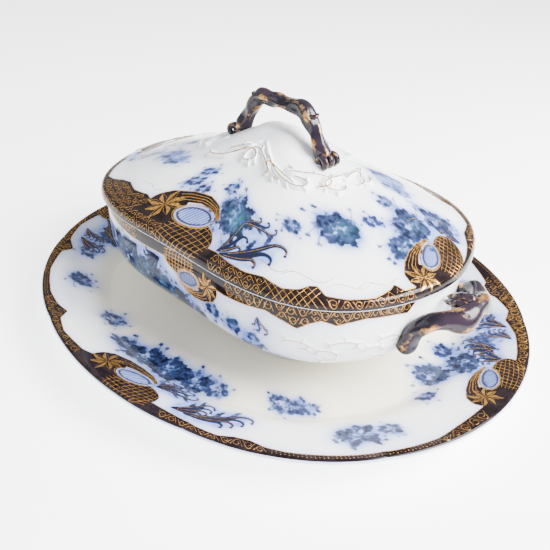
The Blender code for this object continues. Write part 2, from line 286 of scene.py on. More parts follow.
class Print:
    """The colours laid on one sheet: ink, turquoise and dark ground, then gold lines on top."""

    def __init__(self, sheet, seed):
        self.sheet = sheet
        shape = (sheet.columns, sheet.rows)
        self.ink = np.zeros(shape)
        self.teal = np.zeros(shape)
        self.wash = np.zeros(shape)
        self.dark = np.full(shape, FAR)
        self.lift = np.zeros(shape)
        self.strips = []
        self.outline = []
        self.rng = np.random.default_rng(seed)

    def window(self, degrees, w, reach):
        """The block of the grid within reach of a spot, with its local coordinates."""
        s = self.sheet
        x, y = local(s, degrees, w)
        mask = (np.abs(x) < reach) & (np.abs(y) < reach)
        return x[mask], y[mask], mask

    def leaf(self, x0, y0, angle, length, width, depth, wind):
        """One veined leaf from a local point, its ink uneven as in transfer printing."""
        x, y, mask = wind
        u, v = turned(x - x0, y - y0, angle)
        t = np.clip(u / length, 0, 1)
        half = width * np.sin(np.pi * t ** 0.8) ** 0.8 * (1 + 0.22 * np.sin(u * 9.0 / max(length, 1) * 3))
        inside = soft(np.abs(v) - half, 0.8) * ((u > 0) & (u < length))
        vein = np.exp(-((v) / 0.35) ** 2) * 0.45 + 0.35 * (np.sin((u * 2.4 + np.abs(v) * 2.0)) > 0.3)
        patch = 0.42 + 0.85 * hash_noise(x * 0.42 + 7, y * 0.42, 5)
        value = inside * depth * (1 - 0.50 * vein * (width > 1.6)) * patch
        self.ink[mask] = np.maximum(self.ink[mask], value)

    def flower(self, x0, y0, radius, petals, angle, wind, depth=1.0):
        """One round flower, ringed and rayed."""
        x, y, mask = wind
        u, v = turned(x - x0, y - y0, angle)
        r = np.hypot(u, v)
        a = np.arctan2(v, u)
        edge = radius * (0.78 + 0.22 * np.cos(petals * a))
        inside = soft(r - edge, 0.9)
        rings = 0.5 + 0.5 * np.cos(r / radius * 9.5 + 1.8 * np.cos(petals * a))
        rays = 0.5 + 0.5 * np.cos(petals * 2 * a)
        outline = np.exp(-((r - edge) / 0.5) ** 2)
        value = inside * (depth * (0.30 + 0.5 * rings * (0.5 + 0.5 * rays) + 0.45 * outline))
        core = np.exp(-(r / (0.22 * radius)) ** 2)
        value = np.maximum(value, inside * core * depth) * (0.50 + 0.75
                                                            * hash_noise(x * 0.42, y * 0.42 + 3, 9))
        self.ink[mask] = np.maximum(self.ink[mask], value)

    def stroke(self, xs, ys, width, depth, wind, field="ink"):
        """A soft line through local points."""
        x, y, mask = wind
        best = np.full(x.shape, 1e9)
        wid = np.broadcast_to(np.asarray(width, float), (len(xs),))
        for i in range(len(xs) - 1):
            ax, ay, bx, by = xs[i], ys[i], xs[i + 1], ys[i + 1]
            lx, ly = bx - ax, by - ay
            q = lx * lx + ly * ly + 1e-9
            reach = math.sqrt(q) + 4
            near = (np.abs(x - (ax + bx) / 2) < reach) & (np.abs(y - (ay + by) / 2) < reach)
            if not near.any():
                continue
            t = np.clip(((x[near] - ax) * lx + (y[near] - ay) * ly) / q, 0, 1)
            d = np.hypot(x[near] - ax - t * lx, y[near] - ay - t * ly) - (wid[i] * (1 - t) + wid[i + 1] * t)
            best[near] = np.minimum(best[near], d)
        value = soft(best, 0.7) * depth
        target = getattr(self, field)
        target[mask] = np.maximum(target[mask], value)

    def spray(self, degrees, w, radius, blooms=1, angle=90.0, teal=0.0, depth=1.0, stretch=1.0):
        """A bunch: leaves all round, a few flowers, fine stalks with buds."""
        wind = self.window(degrees, w, radius * 2.1)
        rng = self.rng
        count = int(9 + radius * 0.7)
        for k in range(count):
            a = angle + (k + rng.uniform(-0.3, 0.3)) * 360.0 / count
            c = math.cos(math.radians(a - angle))
            out = radius * rng.uniform(0.30, 0.55) * (1 + (stretch - 1) * abs(c))
            bx, by = out * math.cos(math.radians(a)), out * math.sin(math.radians(a))
            self.leaf(bx * 0.7, by * 0.7, a + rng.uniform(-30, 30),
                      radius * rng.uniform(0.42, 0.68) * (1 + (stretch - 1) * abs(c) * 0.6),
                      radius * rng.uniform(0.15, 0.25), depth * rng.uniform(0.50, 0.90), wind)
        for k in range(blooms + 1):
            a = math.radians(angle + 180 * (k % 2) + rng.uniform(-30, 30))
            off = radius * 0.34 * stretch * (0.4 + 0.6 * ((k + 1) // 2))
            self.flower(off * math.cos(a), off * math.sin(a), radius * rng.uniform(0.34, 0.48),
                        int(rng.integers(5, 8)), rng.uniform(0, 90), wind, depth)
        for k in range(5):
            a = math.radians(angle + rng.uniform(0, 360))
            t = np.linspace(0, 1, 7)
            xs = radius * (0.5 + 0.75 * t) * np.cos(a + 0.5 * t)
            ys = radius * (0.5 + 0.75 * t) * np.sin(a + 0.5 * t)
            self.stroke(xs, ys, 0.25, 0.6 * depth, wind)
            self.flower(xs[-1], ys[-1], radius * 0.10 + 0.5, 5, 0, wind, 0.8 * depth)
        if teal:
            x, y, mask = wind
            blob = np.exp(-((x - radius * 0.15) ** 2 + (y + radius * 0.1) ** 2) / (radius * 0.42) ** 2)
            self.teal[mask] = np.maximum(self.teal[mask], teal * blob
                                         * (0.4 + hash_noise(x * 0.4, y * 0.4, 3)))

    def plume(self, degrees, w, angle, length, hand=1, depth=0.95, arms=5, spread=62.0, gilt=True):
        """Feathered scrolls fanning out of one spot, each curled over at its tip and edged in gold."""
        wind = self.window(degrees, w, length * 1.5)
        for k in range(arms):
            share = k / max(arms - 1, 1)
            reach = length * (1.0 - 0.42 * share)
            a0 = angle + hand * spread * share
            t = np.linspace(0, 1, 24)
            bend = hand * (-0.6 * t + 9.0 * np.clip(t - 0.55, 0, None) ** 1.3)
            step = reach / 23 * (1.35 - 0.85 * t)
            a = math.radians(a0) + bend
            xs = np.concatenate([[0], np.cumsum(step * np.cos(a))[:-1]])
            ys = np.concatenate([[0], np.cumsum(step * np.sin(a))[:-1]])
            wide = length * 0.022 * np.sin(np.pi * np.clip(t * 0.92 + 0.08, 0, 1)) + 0.22
            self.stroke(xs, ys, wide, depth, wind)
            for i in (6, 11):
                out = math.degrees(a[i]) - hand * 34
                self.leaf(xs[i], ys[i], out, reach * 0.26, reach * 0.028, depth * 0.8, wind)
            if gilt and k % 2 == 0:
                self.gold(degrees, w, xs[2:] + 0.3, ys[2:] + 0.3, 0.15)
            tip = hand * 0.9
            self.stroke([xs[-1] - 0.3, xs[-1] + 0.3], [ys[-1], ys[-1] + 0.2 * tip], 0.75, depth, wind)

    def gold(self, degrees, w, xs, ys, width, inside=None):
        """A raised gold line, half its width in mm; inside names the margin it keeps in the dark ground."""
        self.strips.append((degrees, w, np.asarray(xs, float), np.asarray(ys, float),
                            np.broadcast_to(np.asarray(width, float), np.shape(xs)).copy(), inside))

    def ground(self, degrees, w, distance, reach):
        """Adds a dark shape whose signed distance is a function of the local coordinates."""
        x, y, mask = self.window(degrees, w, reach)
        self.dark[mask] = np.minimum(self.dark[mask], distance(x, y))

    def cut(self, degrees, w, distance, reach, colour=0.25):
        """Opens the dark ground over a shape and washes it with blue."""
        x, y, mask = self.window(degrees, w, reach)
        d = distance(x, y)
        self.dark[mask] = np.maximum(self.dark[mask], -d)
        self.wash[mask] = np.maximum(self.wash[mask], soft(d, 0.8) * colour)


def ellipse(x, y, cx, cy, a, b, angle=0.0):
    """About the distance to an ellipse, less than 0 inside."""
    u, v = turned(x - cx, y - cy, angle)
    k = np.hypot(u / a, v / b)
    return (k - 1) * min(a, b)


def tapered(x, y, pts, widths):
    """The distance to a line whose width changes from point to point."""
    best = np.full(np.shape(x), 1e9)
    for (ax, ay), (bx, by), w0, w1 in zip(pts, pts[1:], widths, widths[1:]):
        lx, ly = bx - ax, by - ay
        t = np.clip(((x - ax) * lx + (y - ay) * ly) / (lx * lx + ly * ly + 1e-9), 0, 1)
        best = np.minimum(best, np.hypot(x - ax - t * lx, y - ay - t * ly) - (w0 * (1 - t) + w1 * t))
    return best


def curl(cx, cy, radius, start, hand, turns, count, inner):
    """A flat spiral from an angle in degrees, drawing in to a share of its radius."""
    t = np.linspace(0, 1, count)
    a = math.radians(start) + hand * t * turns * 2 * math.pi
    r = radius * (1 - (1 - inner) * t)
    return cx + r * np.cos(a), cy + r * np.sin(a)


def star_unit(pr, degrees, w, size, flip, lean):
    """The pattern's large motif: eight gold rays on dark, a horn, an oval opening and a netted bulb.

    It reads from the star towards larger angles; flip mirrors it."""
    f = flip
    s = size

    def m(x, y):
        """Points of the sheet as the motif's own."""
        return turned(np.asarray(x) * f, np.asarray(y), lean)

    def put(xs, ys):
        """Points of the motif as the sheet's."""
        a, b = to_turn(np.asarray(xs, float), np.asarray(ys, float), lean)
        return a * f, b

    horn = [(-0.1 * s, 0.50 * s), (0.6 * s, 0.90 * s), (1.5 * s, 1.06 * s), (2.4 * s, 0.92 * s),
            (3.25 * s, 0.45 * s)]
    horn_w = [0.60 * s, 0.42 * s, 0.30 * s, 0.18 * s, 0.04 * s]
    bulb = (2.85 * s, -1.15 * s, 1.60 * s, 1.12 * s, -8)
    reach = 6.0 * s

    def shape(x, y):
        """The dark ground: the star's disc, the horn, the bulb and the band under them."""
        u, v = m(x, y)
        d = ellipse(u, v, 0.05 * s, 0, 1.06 * s, 1.02 * s)
        d = np.minimum(d, tapered(u, v, horn, horn_w))
        d = np.minimum(d, ellipse(u, v, *bulb))
        d = np.minimum(d, tapered(u, v, [(-1.5 * s, -1.0 * s), (0, -0.9 * s), (1.8 * s, -1.3 * s)],
                                  [0.6 * s, 1.0 * s, 0.9 * s]))
        return d

    def hole(x, y):
        """The oval opening beside the star."""
        u, v = m(x, y)
        return ellipse(u, v, 2.02 * s, 0.02 * s, 1.14 * s, 0.64 * s, 4)

    pr.ground(degrees, w, shape, reach)
    pr.cut(degrees, w, hole, reach, 0.6)
    # eight rays, each a wide line with a fine one beside it
    for k in range(8):
        a = math.radians(k * 45.0 + 10)
        long = s * (1.10 if k % 2 == 0 else 0.94)
        t = np.array([0.04, 0.30, 0.56, 0.80, 1.0])
        wid = np.array([0.004, 0.058, 0.112, 0.054, 0.004]) * s
        off = wid + 0.01 * s
        xs, ys = put(t * long * np.cos(a) - off * np.sin(a), t * long * np.sin(a) + off * np.cos(a))
        pr.gold(degrees, w, xs, ys, wid)
        t = np.array([0.30, 0.56, 1.0])
        off = np.array([-0.06, -0.13, 0.0]) * s
        xs, ys = put(t * long * np.cos(a) - off * np.sin(a), t * long * np.sin(a) + off * np.cos(a))
        pr.gold(degrees, w, xs, ys, 0.10)
    # lines along the horn and round the opening
    tt = np.linspace(0.5, 4, 30)
    gx = np.interp(tt, range(5), [p[0] for p in horn])
    gy = np.interp(tt, range(5), [p[1] for p in horn])
    gw = np.interp(tt, range(5), np.array(horn_w)) * 0.5
    tx, ty = np.gradient(gx), np.gradient(gy)
    tl = np.hypot(tx, ty)
    for side in (-1, 0, 1):
        xs, ys = put(gx - ty / tl * gw * side, gy + tx / tl * gw * side)
        pr.gold(degrees, w, xs, ys, 0.20 if side else 0.34)
    t = np.linspace(0, 2 * np.pi, 50)
    for grow, wd in ((1.08, 0.34), (0.86, 0.16)):
        ex, ey = to_turn(1.14 * s * grow * np.cos(t), 0.64 * s * grow * np.sin(t), 4)
        xs, ys = put(ex + 2.02 * s, ey + 0.02 * s)
        pr.gold(degrees, w, xs, ys, wd)
    wind = pr.window(degrees, w, reach)
    for k in range(-5, 6):
        bx = 2.02 * s + k * 0.18 * s
        tall = 0.46 * s * math.sqrt(max(1 - (k / 6.0) ** 2, 0.1))
        xs, ys = put([bx - 0.10 * s, bx, bx + 0.16 * s], [-tall * 0.8, 0.0, tall])
        pr.stroke(xs, ys, 0.30, 0.8, wind)
    for side in (-1, 1):
        ex, ey = to_turn(0.95 * s * np.cos(t[:26]), side * 0.50 * s * np.sin(t[:26]), 4)
        xs, ys = put(ex + 2.02 * s, ey + 0.02 * s)
        pr.stroke(xs, ys, 0.55, 0.75, wind)
    # bulging net over the bulb
    cx, cy, ra, rb, slope = bulb
    for k in range(-4, 5):
        q = k / 4.7
        v = np.linspace(-1, 1, 22)
        rx, ry = to_turn(q * ra * (1 - 0.30 * v * v) + 0.10 * ra * v, v * rb, slope)
        xs, ys = put(rx + cx, ry + cy)
        pr.gold(degrees, w, xs, ys, 0.17, "net")
    for k in range(-3, 4):
        q = k / 3.6
        u = np.linspace(-1, 1, 26)
        rx, ry = to_turn(u * ra, q * rb * (1 - 0.30 * u * u) + 0.08 * rb * u, slope)
        xs, ys = put(rx + cx, ry + cy)
        pr.gold(degrees, w, xs, ys, 0.17, "net")


def vine(pr, start, stop, low, high, cell, width=0.17):
    """Rows of small gold curls and linking arcs in a band between two heights."""
    s = pr.sheet
    c0 = s.column_of(start)
    c1 = s.column_of(stop)
    if c1 < c0:
        c1 += s.columns
    mm = s.across[-1, 0] / s.columns
    length = (c1 - c0) * mm
    count = max(int(length / (cell * 0.80)), 1)
    pitch = length / count
    span = (stop - start) % 360.0
    for k in range(count):
        mid = (start + (k + 0.5) * span / count) % 360.0
        lo = low(mid) if callable(low) else low
        hi = high(mid) if callable(high) else high
        lanes = max(int(round((hi - lo) / (cell * 0.72))), 1)
        tall = (hi - lo) / lanes
        if hi - lo < 1.6:
            continue
        for lane in range(lanes):
            hand = 1 if (k + lane) % 2 else -1
            cy = lo + (lane + 0.5) * tall
            r = min(tall * 0.44, pitch * 0.46)
            shift = pitch * 0.25 * (lane % 2)
            xs, ys = curl(shift, -hand * r * 0.1, r, 90 * hand + 70 * pr.rng.uniform(-1, 1), hand, 1.05, 20,
                          0.28)
            pr.gold(mid, cy, xs, ys, width, "ground")
            t = np.linspace(-0.5, 0.5, 12)
            pr.gold(mid, cy, shift + t * pitch * 1.05, hand * tall * 0.46 * np.cos(t * np.pi * 1.6), width,
                    "ground")


def netting(pr, start, stop, low, high, cell=3.4, width=0.22):
    """Crossing gold diagonals, kept to the dark ground."""
    s = pr.sheet
    mm = s.across[-1, 0] / s.columns
    c0 = s.column_of(start)
    c1 = s.column_of(stop)
    if c1 < c0:
        c1 += s.columns
    length = (c1 - c0) * mm
    count = int(length / cell)
    for k in range(0, count + 1):
        for side in (-1, 1):
            t = np.linspace(0, 1, 12)
            xs = k * cell + side * t * (high - low) * 0.85 - side * (high - low) * 0.42
            pr.gold(start, low, xs, t * (high - low), width, "net")


# scrolls in low relief: how far each is drawn out and up, the half widths of its gold and of its ridge,
# then its leaflets: how many, the points between them, length, lean, half widths of ridge and gold,
# and which of them are gilded
LID_MOULDING = (1.25, 0.75, 0.38, (2.0, 0.8), 5, 5, 0.30, 0.7, 0.7, 0.22, 2)
BOWL_MOULDING = (1.35, 0.62, 0.26, (0.9, 0.4), 4, 6, 0.45, 0.5, 0.45, 0.17, 1)


def moulded(pr, degrees, w, radius, hand, line, moulding):
    """A raised scroll with leaflets along it, picked out in gold."""
    wide, tall, gilt, ridge, leaflets, gap, length, lean, leaf_ridge, leaf_gilt, every = moulding
    xs, ys = wide * line[0], tall * line[1]
    pr.gold(degrees, w, xs, ys, gilt)
    wind = pr.window(degrees, w, radius * 1.8)
    pr.stroke(xs, ys, np.linspace(*ridge, len(xs)), 1.0, wind, "lift")
    for k in range(leaflets):
        i = 2 + gap * k
        a = math.atan2(ys[i], xs[i]) + lean * hand
        out = radius * length * np.linspace(0, 1, 6)
        leaf_x = xs[i] + out * math.cos(a)
        leaf_y = ys[i] + out * math.sin(a)
        pr.stroke(leaf_x, leaf_y, leaf_ridge, 1.0, wind, "lift")
        if k % every == 0:
            pr.gold(degrees, w, leaf_x, leaf_y, leaf_gilt)


def rim_edge(pr, heights):
    """The dark ground running round the rim; heights are (degrees, mm) pairs."""
    s = pr.sheet
    degrees = np.degrees(s.turn)
    known = sorted(heights)
    xs = np.array([known[-1][0] - 360.0] + [k[0] for k in known] + [known[0][0] + 360.0])
    ys = np.array([known[-1][1]] + [k[1] for k in known] + [known[0][1]])
    h = np.interp(degrees, xs, ys)
    pr.edge = lambda d: float(np.interp(d % 360.0, degrees, h, period=360.0))
    pr.dark = np.minimum(pr.dark, s.up - h[:, None])


def under_edge(pr, gap):
    """The height of the rim's dark ground at each angle, less a gap."""
    return lambda degrees: pr.edge(degrees) - gap


def contour(pr):
    """The outline of the dark ground, found cell by cell, in pairs of (column, row)."""
    s = pr.sheet
    d = pr.dark
    cols = np.arange(s.columns)
    for j in range(s.rows - 1):
        a = d[:, j]
        b = np.roll(d[:, j], -1)
        c = d[:, j + 1]
        e = np.roll(d[:, j + 1], -1)
        m = ((a < 0) != (b < 0)) | ((a < 0) != (c < 0)) | ((e < 0) != (b < 0)) | ((e < 0) != (c < 0))
        for i in cols[m]:
            cuts = []
            if (a[i] < 0) != (b[i] < 0):
                cuts.append((i + a[i] / (a[i] - b[i]), j))
            if (a[i] < 0) != (c[i] < 0):
                cuts.append((i, j + a[i] / (a[i] - c[i])))
            if (c[i] < 0) != (e[i] < 0):
                cuts.append((i + c[i] / (c[i] - e[i]), j + 1))
            if (b[i] < 0) != (e[i] < 0):
                cuts.append((i + 1, j + b[i] / (b[i] - e[i])))
            if len(cuts) >= 2:
                pr.outline.append((cuts[0], cuts[1]))


def blur(field, sheet, mm):
    """Spreads a field over the sheet by about mm, round the oval and up it."""
    out = field
    for axis, step in ((0, sheet.across[-1, 0] / sheet.columns), (1, sheet.row_step)):
        sigma = mm / step
        reach = int(3 * sigma) + 1
        k = np.arange(-reach, reach + 1)
        kernel = np.exp(-0.5 * (k / sigma) ** 2)
        kernel /= kernel.sum()
        total = np.zeros_like(out)
        for shift, weight in zip(k, kernel):
            if axis == 0:
                total += weight * np.roll(out, shift, 0)
            else:
                row = np.clip(np.arange(out.shape[1]) - shift, 0, out.shape[1] - 1)
                total += weight * out[:, row]
        out = total
    return out


# ---- meshes ----
class Ribbons:
    """The gold lines of one sheet as narrow strips, each a low ridge lying on the glaze."""

    def __init__(self, pr):
        self.pr = pr
        self.points = []
        self.columns = []
        self.faces = []
        self.count = 0
        for line in pr.strips:
            self.draw(*line)
        for (a, b), (c, d) in pr.outline:
            if min(b, d) >= OUTLINE_FIRST_ROW:
                self.lay(np.array([a, c], float), np.array([b, d], float), np.full(2, OUTLINE_HALF))

    def lay(self, column, row, half):
        """One strip through points given by column and row, half its width in mm."""
        sheet = self.pr.sheet
        p = sheet.sample(sheet.points, column, row)
        n = sheet.sample(sheet.normals, column, row)
        lift = sheet.sample(self.pr.lift, column, row)[:, None]
        side = np.cross(n, np.gradient(p, axis=0))
        side /= np.maximum(np.linalg.norm(side, axis=1, keepdims=True), TINY)
        side *= half[:, None] / MM
        edge = n * (lift + GOLD_EDGE)
        self.points += [p - side + edge, p + n * (lift + GOLD_RIDGE), p + side + edge]
        self.columns += [column] * 3
        k = len(p)
        i = np.arange(k - 1)
        for a in (self.count + i, self.count + k + i):
            self.faces.append(np.stack([a, a + 1, a + k + 1, a + k], 1))
        self.count += 3 * k

    def draw(self, degrees, w, xs, ys, half, inside):
        """A line in millimetres from a spot, evenly stepped, and cut where it leaves its ground."""
        sheet = self.pr.sheet
        run = np.concatenate([[0], np.cumsum(np.hypot(np.diff(xs), np.diff(ys)))])
        if run[-1] < SHORTEST_LINE:
            return
        even = np.linspace(0, run[-1], max(int(run[-1] / LINE_STEP) + 1, 3))
        xs, ys, half = (np.interp(even, run, k) for k in (xs, ys, half))
        column, row = spot(sheet, degrees, w, xs, ys)
        kept = (row > 0.5) & (row < sheet.rows - 1.5)
        if inside:
            kept &= sheet.sample(self.pr.dark, column, row) < -INSET[inside]
        for part in np.split(np.arange(len(kept)), np.flatnonzero(np.diff(kept)) + 1):
            if kept[part[0]] and len(part) >= 2:
                self.lay(column[part], row[part], half[part])


def put_in_scene(name, mesh, body, node, *materials):
    """The mesh as a piece that rides a body and stands for a CAD node."""
    mesh.polygons.foreach_set("use_smooth", np.ones(len(mesh.polygons), bool))
    for material in materials:
        mesh.materials.append(material)
    mesh.update()
    made = bpy.data.objects.new(name, mesh)
    bpy.context.scene.collection.objects.link(made)
    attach(made, body)
    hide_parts(node)


def corners(shape, *values):
    """The values at the corners of each face, one row per face."""
    return np.stack([np.broadcast_to(v, shape).ravel() for v in values], 1)


def big_mesh(name, points, faces):
    """A mesh from arrays of faces, each with its own number of corners."""
    mesh = bpy.data.meshes.new(name)
    loops = np.concatenate([f.reshape(-1) for f in faces])
    sizes = np.concatenate([np.full(len(f), f.shape[1]) for f in faces])
    starts = np.concatenate([[0], np.cumsum(sizes)[:-1]])
    mesh.vertices.add(len(points))
    mesh.vertices.foreach_set("co", points.astype(np.float32).ravel())
    mesh.loops.add(len(loops))
    mesh.loops.foreach_set("vertex_index", loops.astype(np.int32))
    mesh.polygons.add(len(sizes))
    mesh.polygons.foreach_set("loop_start", starts.astype(np.int32))
    mesh.polygons.foreach_set("loop_total", sizes.astype(np.int32))
    return mesh


def shell(name, sheet, back, pr, node, heights, cream_and_shade=0.0):
    """The printed outer grid, its plain back and the gold lines as one mesh.

    heights are those of the middle of the outer side and of the back."""
    columns = sheet.columns
    outer = sheet.points + sheet.normals * pr.lift[..., None]
    inner = swept(sheet.turn, back, sheet.shape)
    grid = np.concatenate([outer[:, ::-1], inner], 1)
    rows = grid.shape[1]

    # the closed body: a grid of quads round it and a fan of triangles at each end
    base = columns * rows
    i = np.arange(columns)[:, None]
    j = np.arange(rows - 1)[None]
    k = np.arange(columns)
    after = (k + 1) % columns
    shape = (columns, rows - 1)
    a = i * rows + j
    b = (i + 1) % columns * rows + j
    quads = corners(shape, a, b, b + 1, a + 1)
    tris = np.concatenate([corners(k.shape, base, after * rows, k * rows),
                           corners(k.shape, base + 1, k * rows + rows - 1, after * rows + rows - 1)])

    # unwrapping: the way round the oval across, the way along the section up, gold lines in the rest
    section = np.concatenate([[0], np.cumsum(np.linalg.norm(np.diff(grid[0], axis=0), axis=1))])
    section *= GLAZE_SHARE / section[-1]
    quad_u = corners(shape, i, i + 1, i + 1, i) / columns
    quad_v = corners(shape, section[j], section[j], section[j + 1], section[j + 1])
    tri_u = np.concatenate([corners(k.shape, k + 0.5, k + 1, k),
                            corners(k.shape, k + 0.5, k, k + 1)]) / columns
    tri_v = np.repeat([0.0, GLAZE_SHARE], 3 * columns)

    # faces that look in are turned round
    p = grid.reshape(-1, 3)[quads]
    volume = sum(np.einsum("ij,ij->", p[:, 0], np.cross(p[:, n], p[:, n + 1])) for n in (1, 2))
    if volume < 0:
        quads, quad_u, quad_v, tris, tri_u = (f[:, ::-1] for f in (quads, quad_u, quad_v, tris, tri_u))

    gold_lines = Ribbons(pr)
    gold_faces = np.concatenate(gold_lines.faces)
    gold_u = np.concatenate(gold_lines.columns) % columns / columns
    gold_v = np.linspace(*GOLD_SHARE, gold_lines.count)
    middle = [(0.0, 0.0, height) for height in heights]
    points = np.concatenate([grid.reshape(-1, 3), middle] + gold_lines.points)
    mesh = big_mesh(name, points, [quads, tris, gold_faces + base + 2])
    slots = np.zeros(len(mesh.polygons), np.int32)
    slots[len(quads) + len(tris):] = 1
    mesh.polygons.foreach_set("material_index", slots)
    u = np.concatenate([quad_u.ravel(), tri_u.ravel(), gold_u[gold_faces].ravel()])
    v = np.concatenate([quad_v.ravel(), tri_v, gold_v[gold_faces].ravel()])
    layer = mesh.uv_layers.new(name="OFBake")
    layer.data.foreach_set("uv", np.stack([u, v], 1).astype(np.float32).ravel())

    # what is printed, as values on the points
    flow = blur(pr.ink, sheet, 1.8) * 1.3 + blur(pr.ink, sheet, 6.5) * 3.6
    flow = np.clip(flow + blur(soft(pr.dark, 2.0), sheet, 4.0) * 0.95, 0, 1)
    fields = {"ink": blur(pr.ink, sheet, 0.45), "flow": flow, "teal": pr.teal, "wash": pr.wash}
    for field in fields.values():
        field[:, -1] = 0.0
    fields["dark"] = pr.dark
    # the cream tint of the well: partly the glaze's warmer tone, partly painted shade where the bowl
    # overhangs the well
    fields["cream_and_shade"] = cream_and_shade + np.zeros_like(pr.dark)
    for key, value in fields.items():
        data = np.full(len(points), FAR if key == "dark" else 0.0, np.float32)
        data[:base].reshape(columns, rows)[:, :sheet.rows] = value[:, ::-1]
        if key == "cream_and_shade":
            data[base] = value[0, -1]
        mesh.attributes.new(key, "FLOAT", "POINT").data.foreach_set("value", data)
    mesh.update()
    mesh.validate()
    put_in_scene(name, mesh, node, node, printed, gold)


# ---- surfaces ----
class Nodes:
    """A material and short ways of adding shader nodes to it."""

    def __init__(self, name):
        self.material = bpy.data.materials.new(name)
        self.material.use_nodes = True
        self.tree = self.material.node_tree
        self.shader = self.tree.nodes["Principled BSDF"]

    def add(self, kind, **settings):
        """A shader node with its settings."""
        node = self.tree.nodes.new(kind)
        for key, value in settings.items():
            setattr(node, key, value)
        return node

    def link(self, a, b):
        """A wire from one socket to another."""
        self.tree.links.new(a, b)

    def value(self, name):
        """A number kept on the points of the mesh."""
        return self.add("ShaderNodeAttribute", attribute_name=name).outputs["Fac"]

    def put(self, socket, item):
        """A socket's input, wired or fixed."""
        if hasattr(item, "is_linked"):
            self.link(item, socket)
        else:
            socket.default_value = item

    def math(self, operation, a, b=0.0, clamp=False):
        """One sum of two inputs."""
        node = self.add("ShaderNodeMath", operation=operation, use_clamp=clamp)
        self.put(node.inputs[0], a)
        self.put(node.inputs[1], b)
        return node.outputs[0]

    def mix(self, factor, a, b):
        """One colour towards another."""
        node = self.add("ShaderNodeMix", data_type="RGBA")
        self.put(node.inputs["Factor"], factor)
        self.put(node.inputs["A"], a if hasattr(a, "is_linked") else (*a, 1.0))
        self.put(node.inputs["B"], b if hasattr(b, "is_linked") else (*b, 1.0))
        return node.outputs["Result"]

    def spread(self, a, low, high, to_low=0.0, to_high=1.0):
        """A value taken smoothly from one range to another."""
        node = self.add("ShaderNodeMapRange", interpolation_type="SMOOTHSTEP")
        self.put(node.inputs["Value"], a)
        for key, value in (("From Min", low), ("From Max", high), ("To Min", to_low), ("To Max", to_high)):
            node.inputs[key].default_value = value
        return node.outputs["Result"]

    def ramp(self, a, stops):
        """A colour picked by a value."""
        node = self.add("ShaderNodeValToRGB")
        band = node.color_ramp
        while len(band.elements) < len(stops):
            band.elements.new(0.5)
        for element, (place, colour) in zip(band.elements, stops):
            element.position = place
            element.color = (*colour, 1.0)
        self.link(a, node.inputs["Fac"])
        return node.outputs["Color"]

    def noise(self, scale, detail=4.0, rough=0.55):
        """Noise over the piece, in its own metres."""
        place = self.add("ShaderNodeTexCoord").outputs["Object"]
        node = self.add("ShaderNodeTexNoise")
        node.inputs["Scale"].default_value = scale
        node.inputs["Detail"].default_value = detail
        node.inputs["Roughness"].default_value = rough
        self.link(place, node.inputs["Vector"])
        return node.outputs["Fac"]

    def bump(self, height, strength, distance):
        """Relief for the shading, in metres."""
        node = self.add("ShaderNodeBump")
        node.inputs["Strength"].default_value = strength
        node.inputs["Distance"].default_value = distance
        self.link(height, node.inputs["Height"])
        self.link(node.outputs["Normal"], self.shader.inputs["Normal"])


def printed_glaze(name):
    """White glaze with the flowing blue print and the dark ground."""
    n = Nodes(name)
    fine = n.noise(900.0, 3.0)
    cloud = n.noise(120.0, 4.0)
    broad = n.noise(22.0, 3.0)
    body = n.mix(n.spread(broad, 0.3, 0.7), (0.86, 0.87, 0.885), (0.83, 0.85, 0.875))
    # warm cream tint where that value is set: partly the glaze's own tone, partly painted shade of the well
    # under the bowl
    body = n.mix(n.math("MULTIPLY", n.value("cream_and_shade"), 1.0), body, (0.86, 0.81, 0.66))
    flow = n.math("MULTIPLY", n.value("flow"), n.spread(cloud, 0.2, 0.8, 0.70, 1.15))
    body = n.mix(n.math("MULTIPLY", flow, 1.0, True), body, (0.16, 0.24, 0.60))
    body = n.mix(n.math("MULTIPLY", n.value("wash"), 0.95, True), body, (0.17, 0.23, 0.56))
    teal = n.math("MULTIPLY", n.value("teal"), n.spread(cloud, 0.25, 0.6, 0.3, 1.2), True)
    body = n.mix(teal, body, (0.03, 0.22, 0.33))
    speck = n.math("MULTIPLY", n.math("SUBTRACT", fine, 0.5), 0.3)
    ink = n.math("ADD", n.value("ink"), n.math("MULTIPLY", speck, n.value("ink")))
    ink = n.math("ADD", ink, n.math("MULTIPLY", n.math("SUBTRACT", cloud, 0.5),
                                    n.math("MULTIPLY", n.value("ink"), 0.45)))
    shade = n.ramp(ink, ((0.0, (0.17, 0.24, 0.46)), (0.22, (0.080, 0.118, 0.27)),
                         (0.44, (0.022, 0.034, 0.098)),
                         (0.72, (0.005, 0.007, 0.022))))
    body = n.mix(n.spread(ink, 0.06, 0.42), body, shade)
    body = n.mix(n.math("MULTIPLY", teal, 0.42, True), body, (0.035, 0.19, 0.27))
    ground = n.mix(n.spread(cloud, 0.35, 0.7), (0.006, 0.0035, 0.004), (0.016, 0.010, 0.011))
    edge = n.math("ADD", n.value("dark"), n.math("MULTIPLY", n.math("SUBTRACT", cloud, 0.5), 0.35))
    body = n.mix(n.spread(edge, -0.2, 0.3, 1.0, 0.0), body, ground)
    n.link(body, n.shader.inputs["Base Color"])
    n.link(n.spread(cloud, 0.2, 0.8, 0.05, 0.13), n.shader.inputs["Roughness"])
    n.link(n.spread(edge, -0.2, 0.3, 0.13, 0.34), n.shader.inputs["Specular IOR Level"])
    n.bump(broad, 0.05, 0.0015)
    return n.material


def white_glaze(name):
    """The unprinted glaze of the foot and the lid's ring."""
    n = Nodes(name)
    broad = n.noise(30.0, 4.0)
    n.link(n.mix(n.spread(broad, 0.3, 0.7), (0.84, 0.84, 0.83), (0.80, 0.81, 0.82)),
           n.shader.inputs["Base Color"])
    n.link(n.spread(n.noise(200.0), 0.2, 0.8, 0.07, 0.15), n.shader.inputs["Roughness"])
    n.bump(broad, 0.15, 0.001)
    return n.material


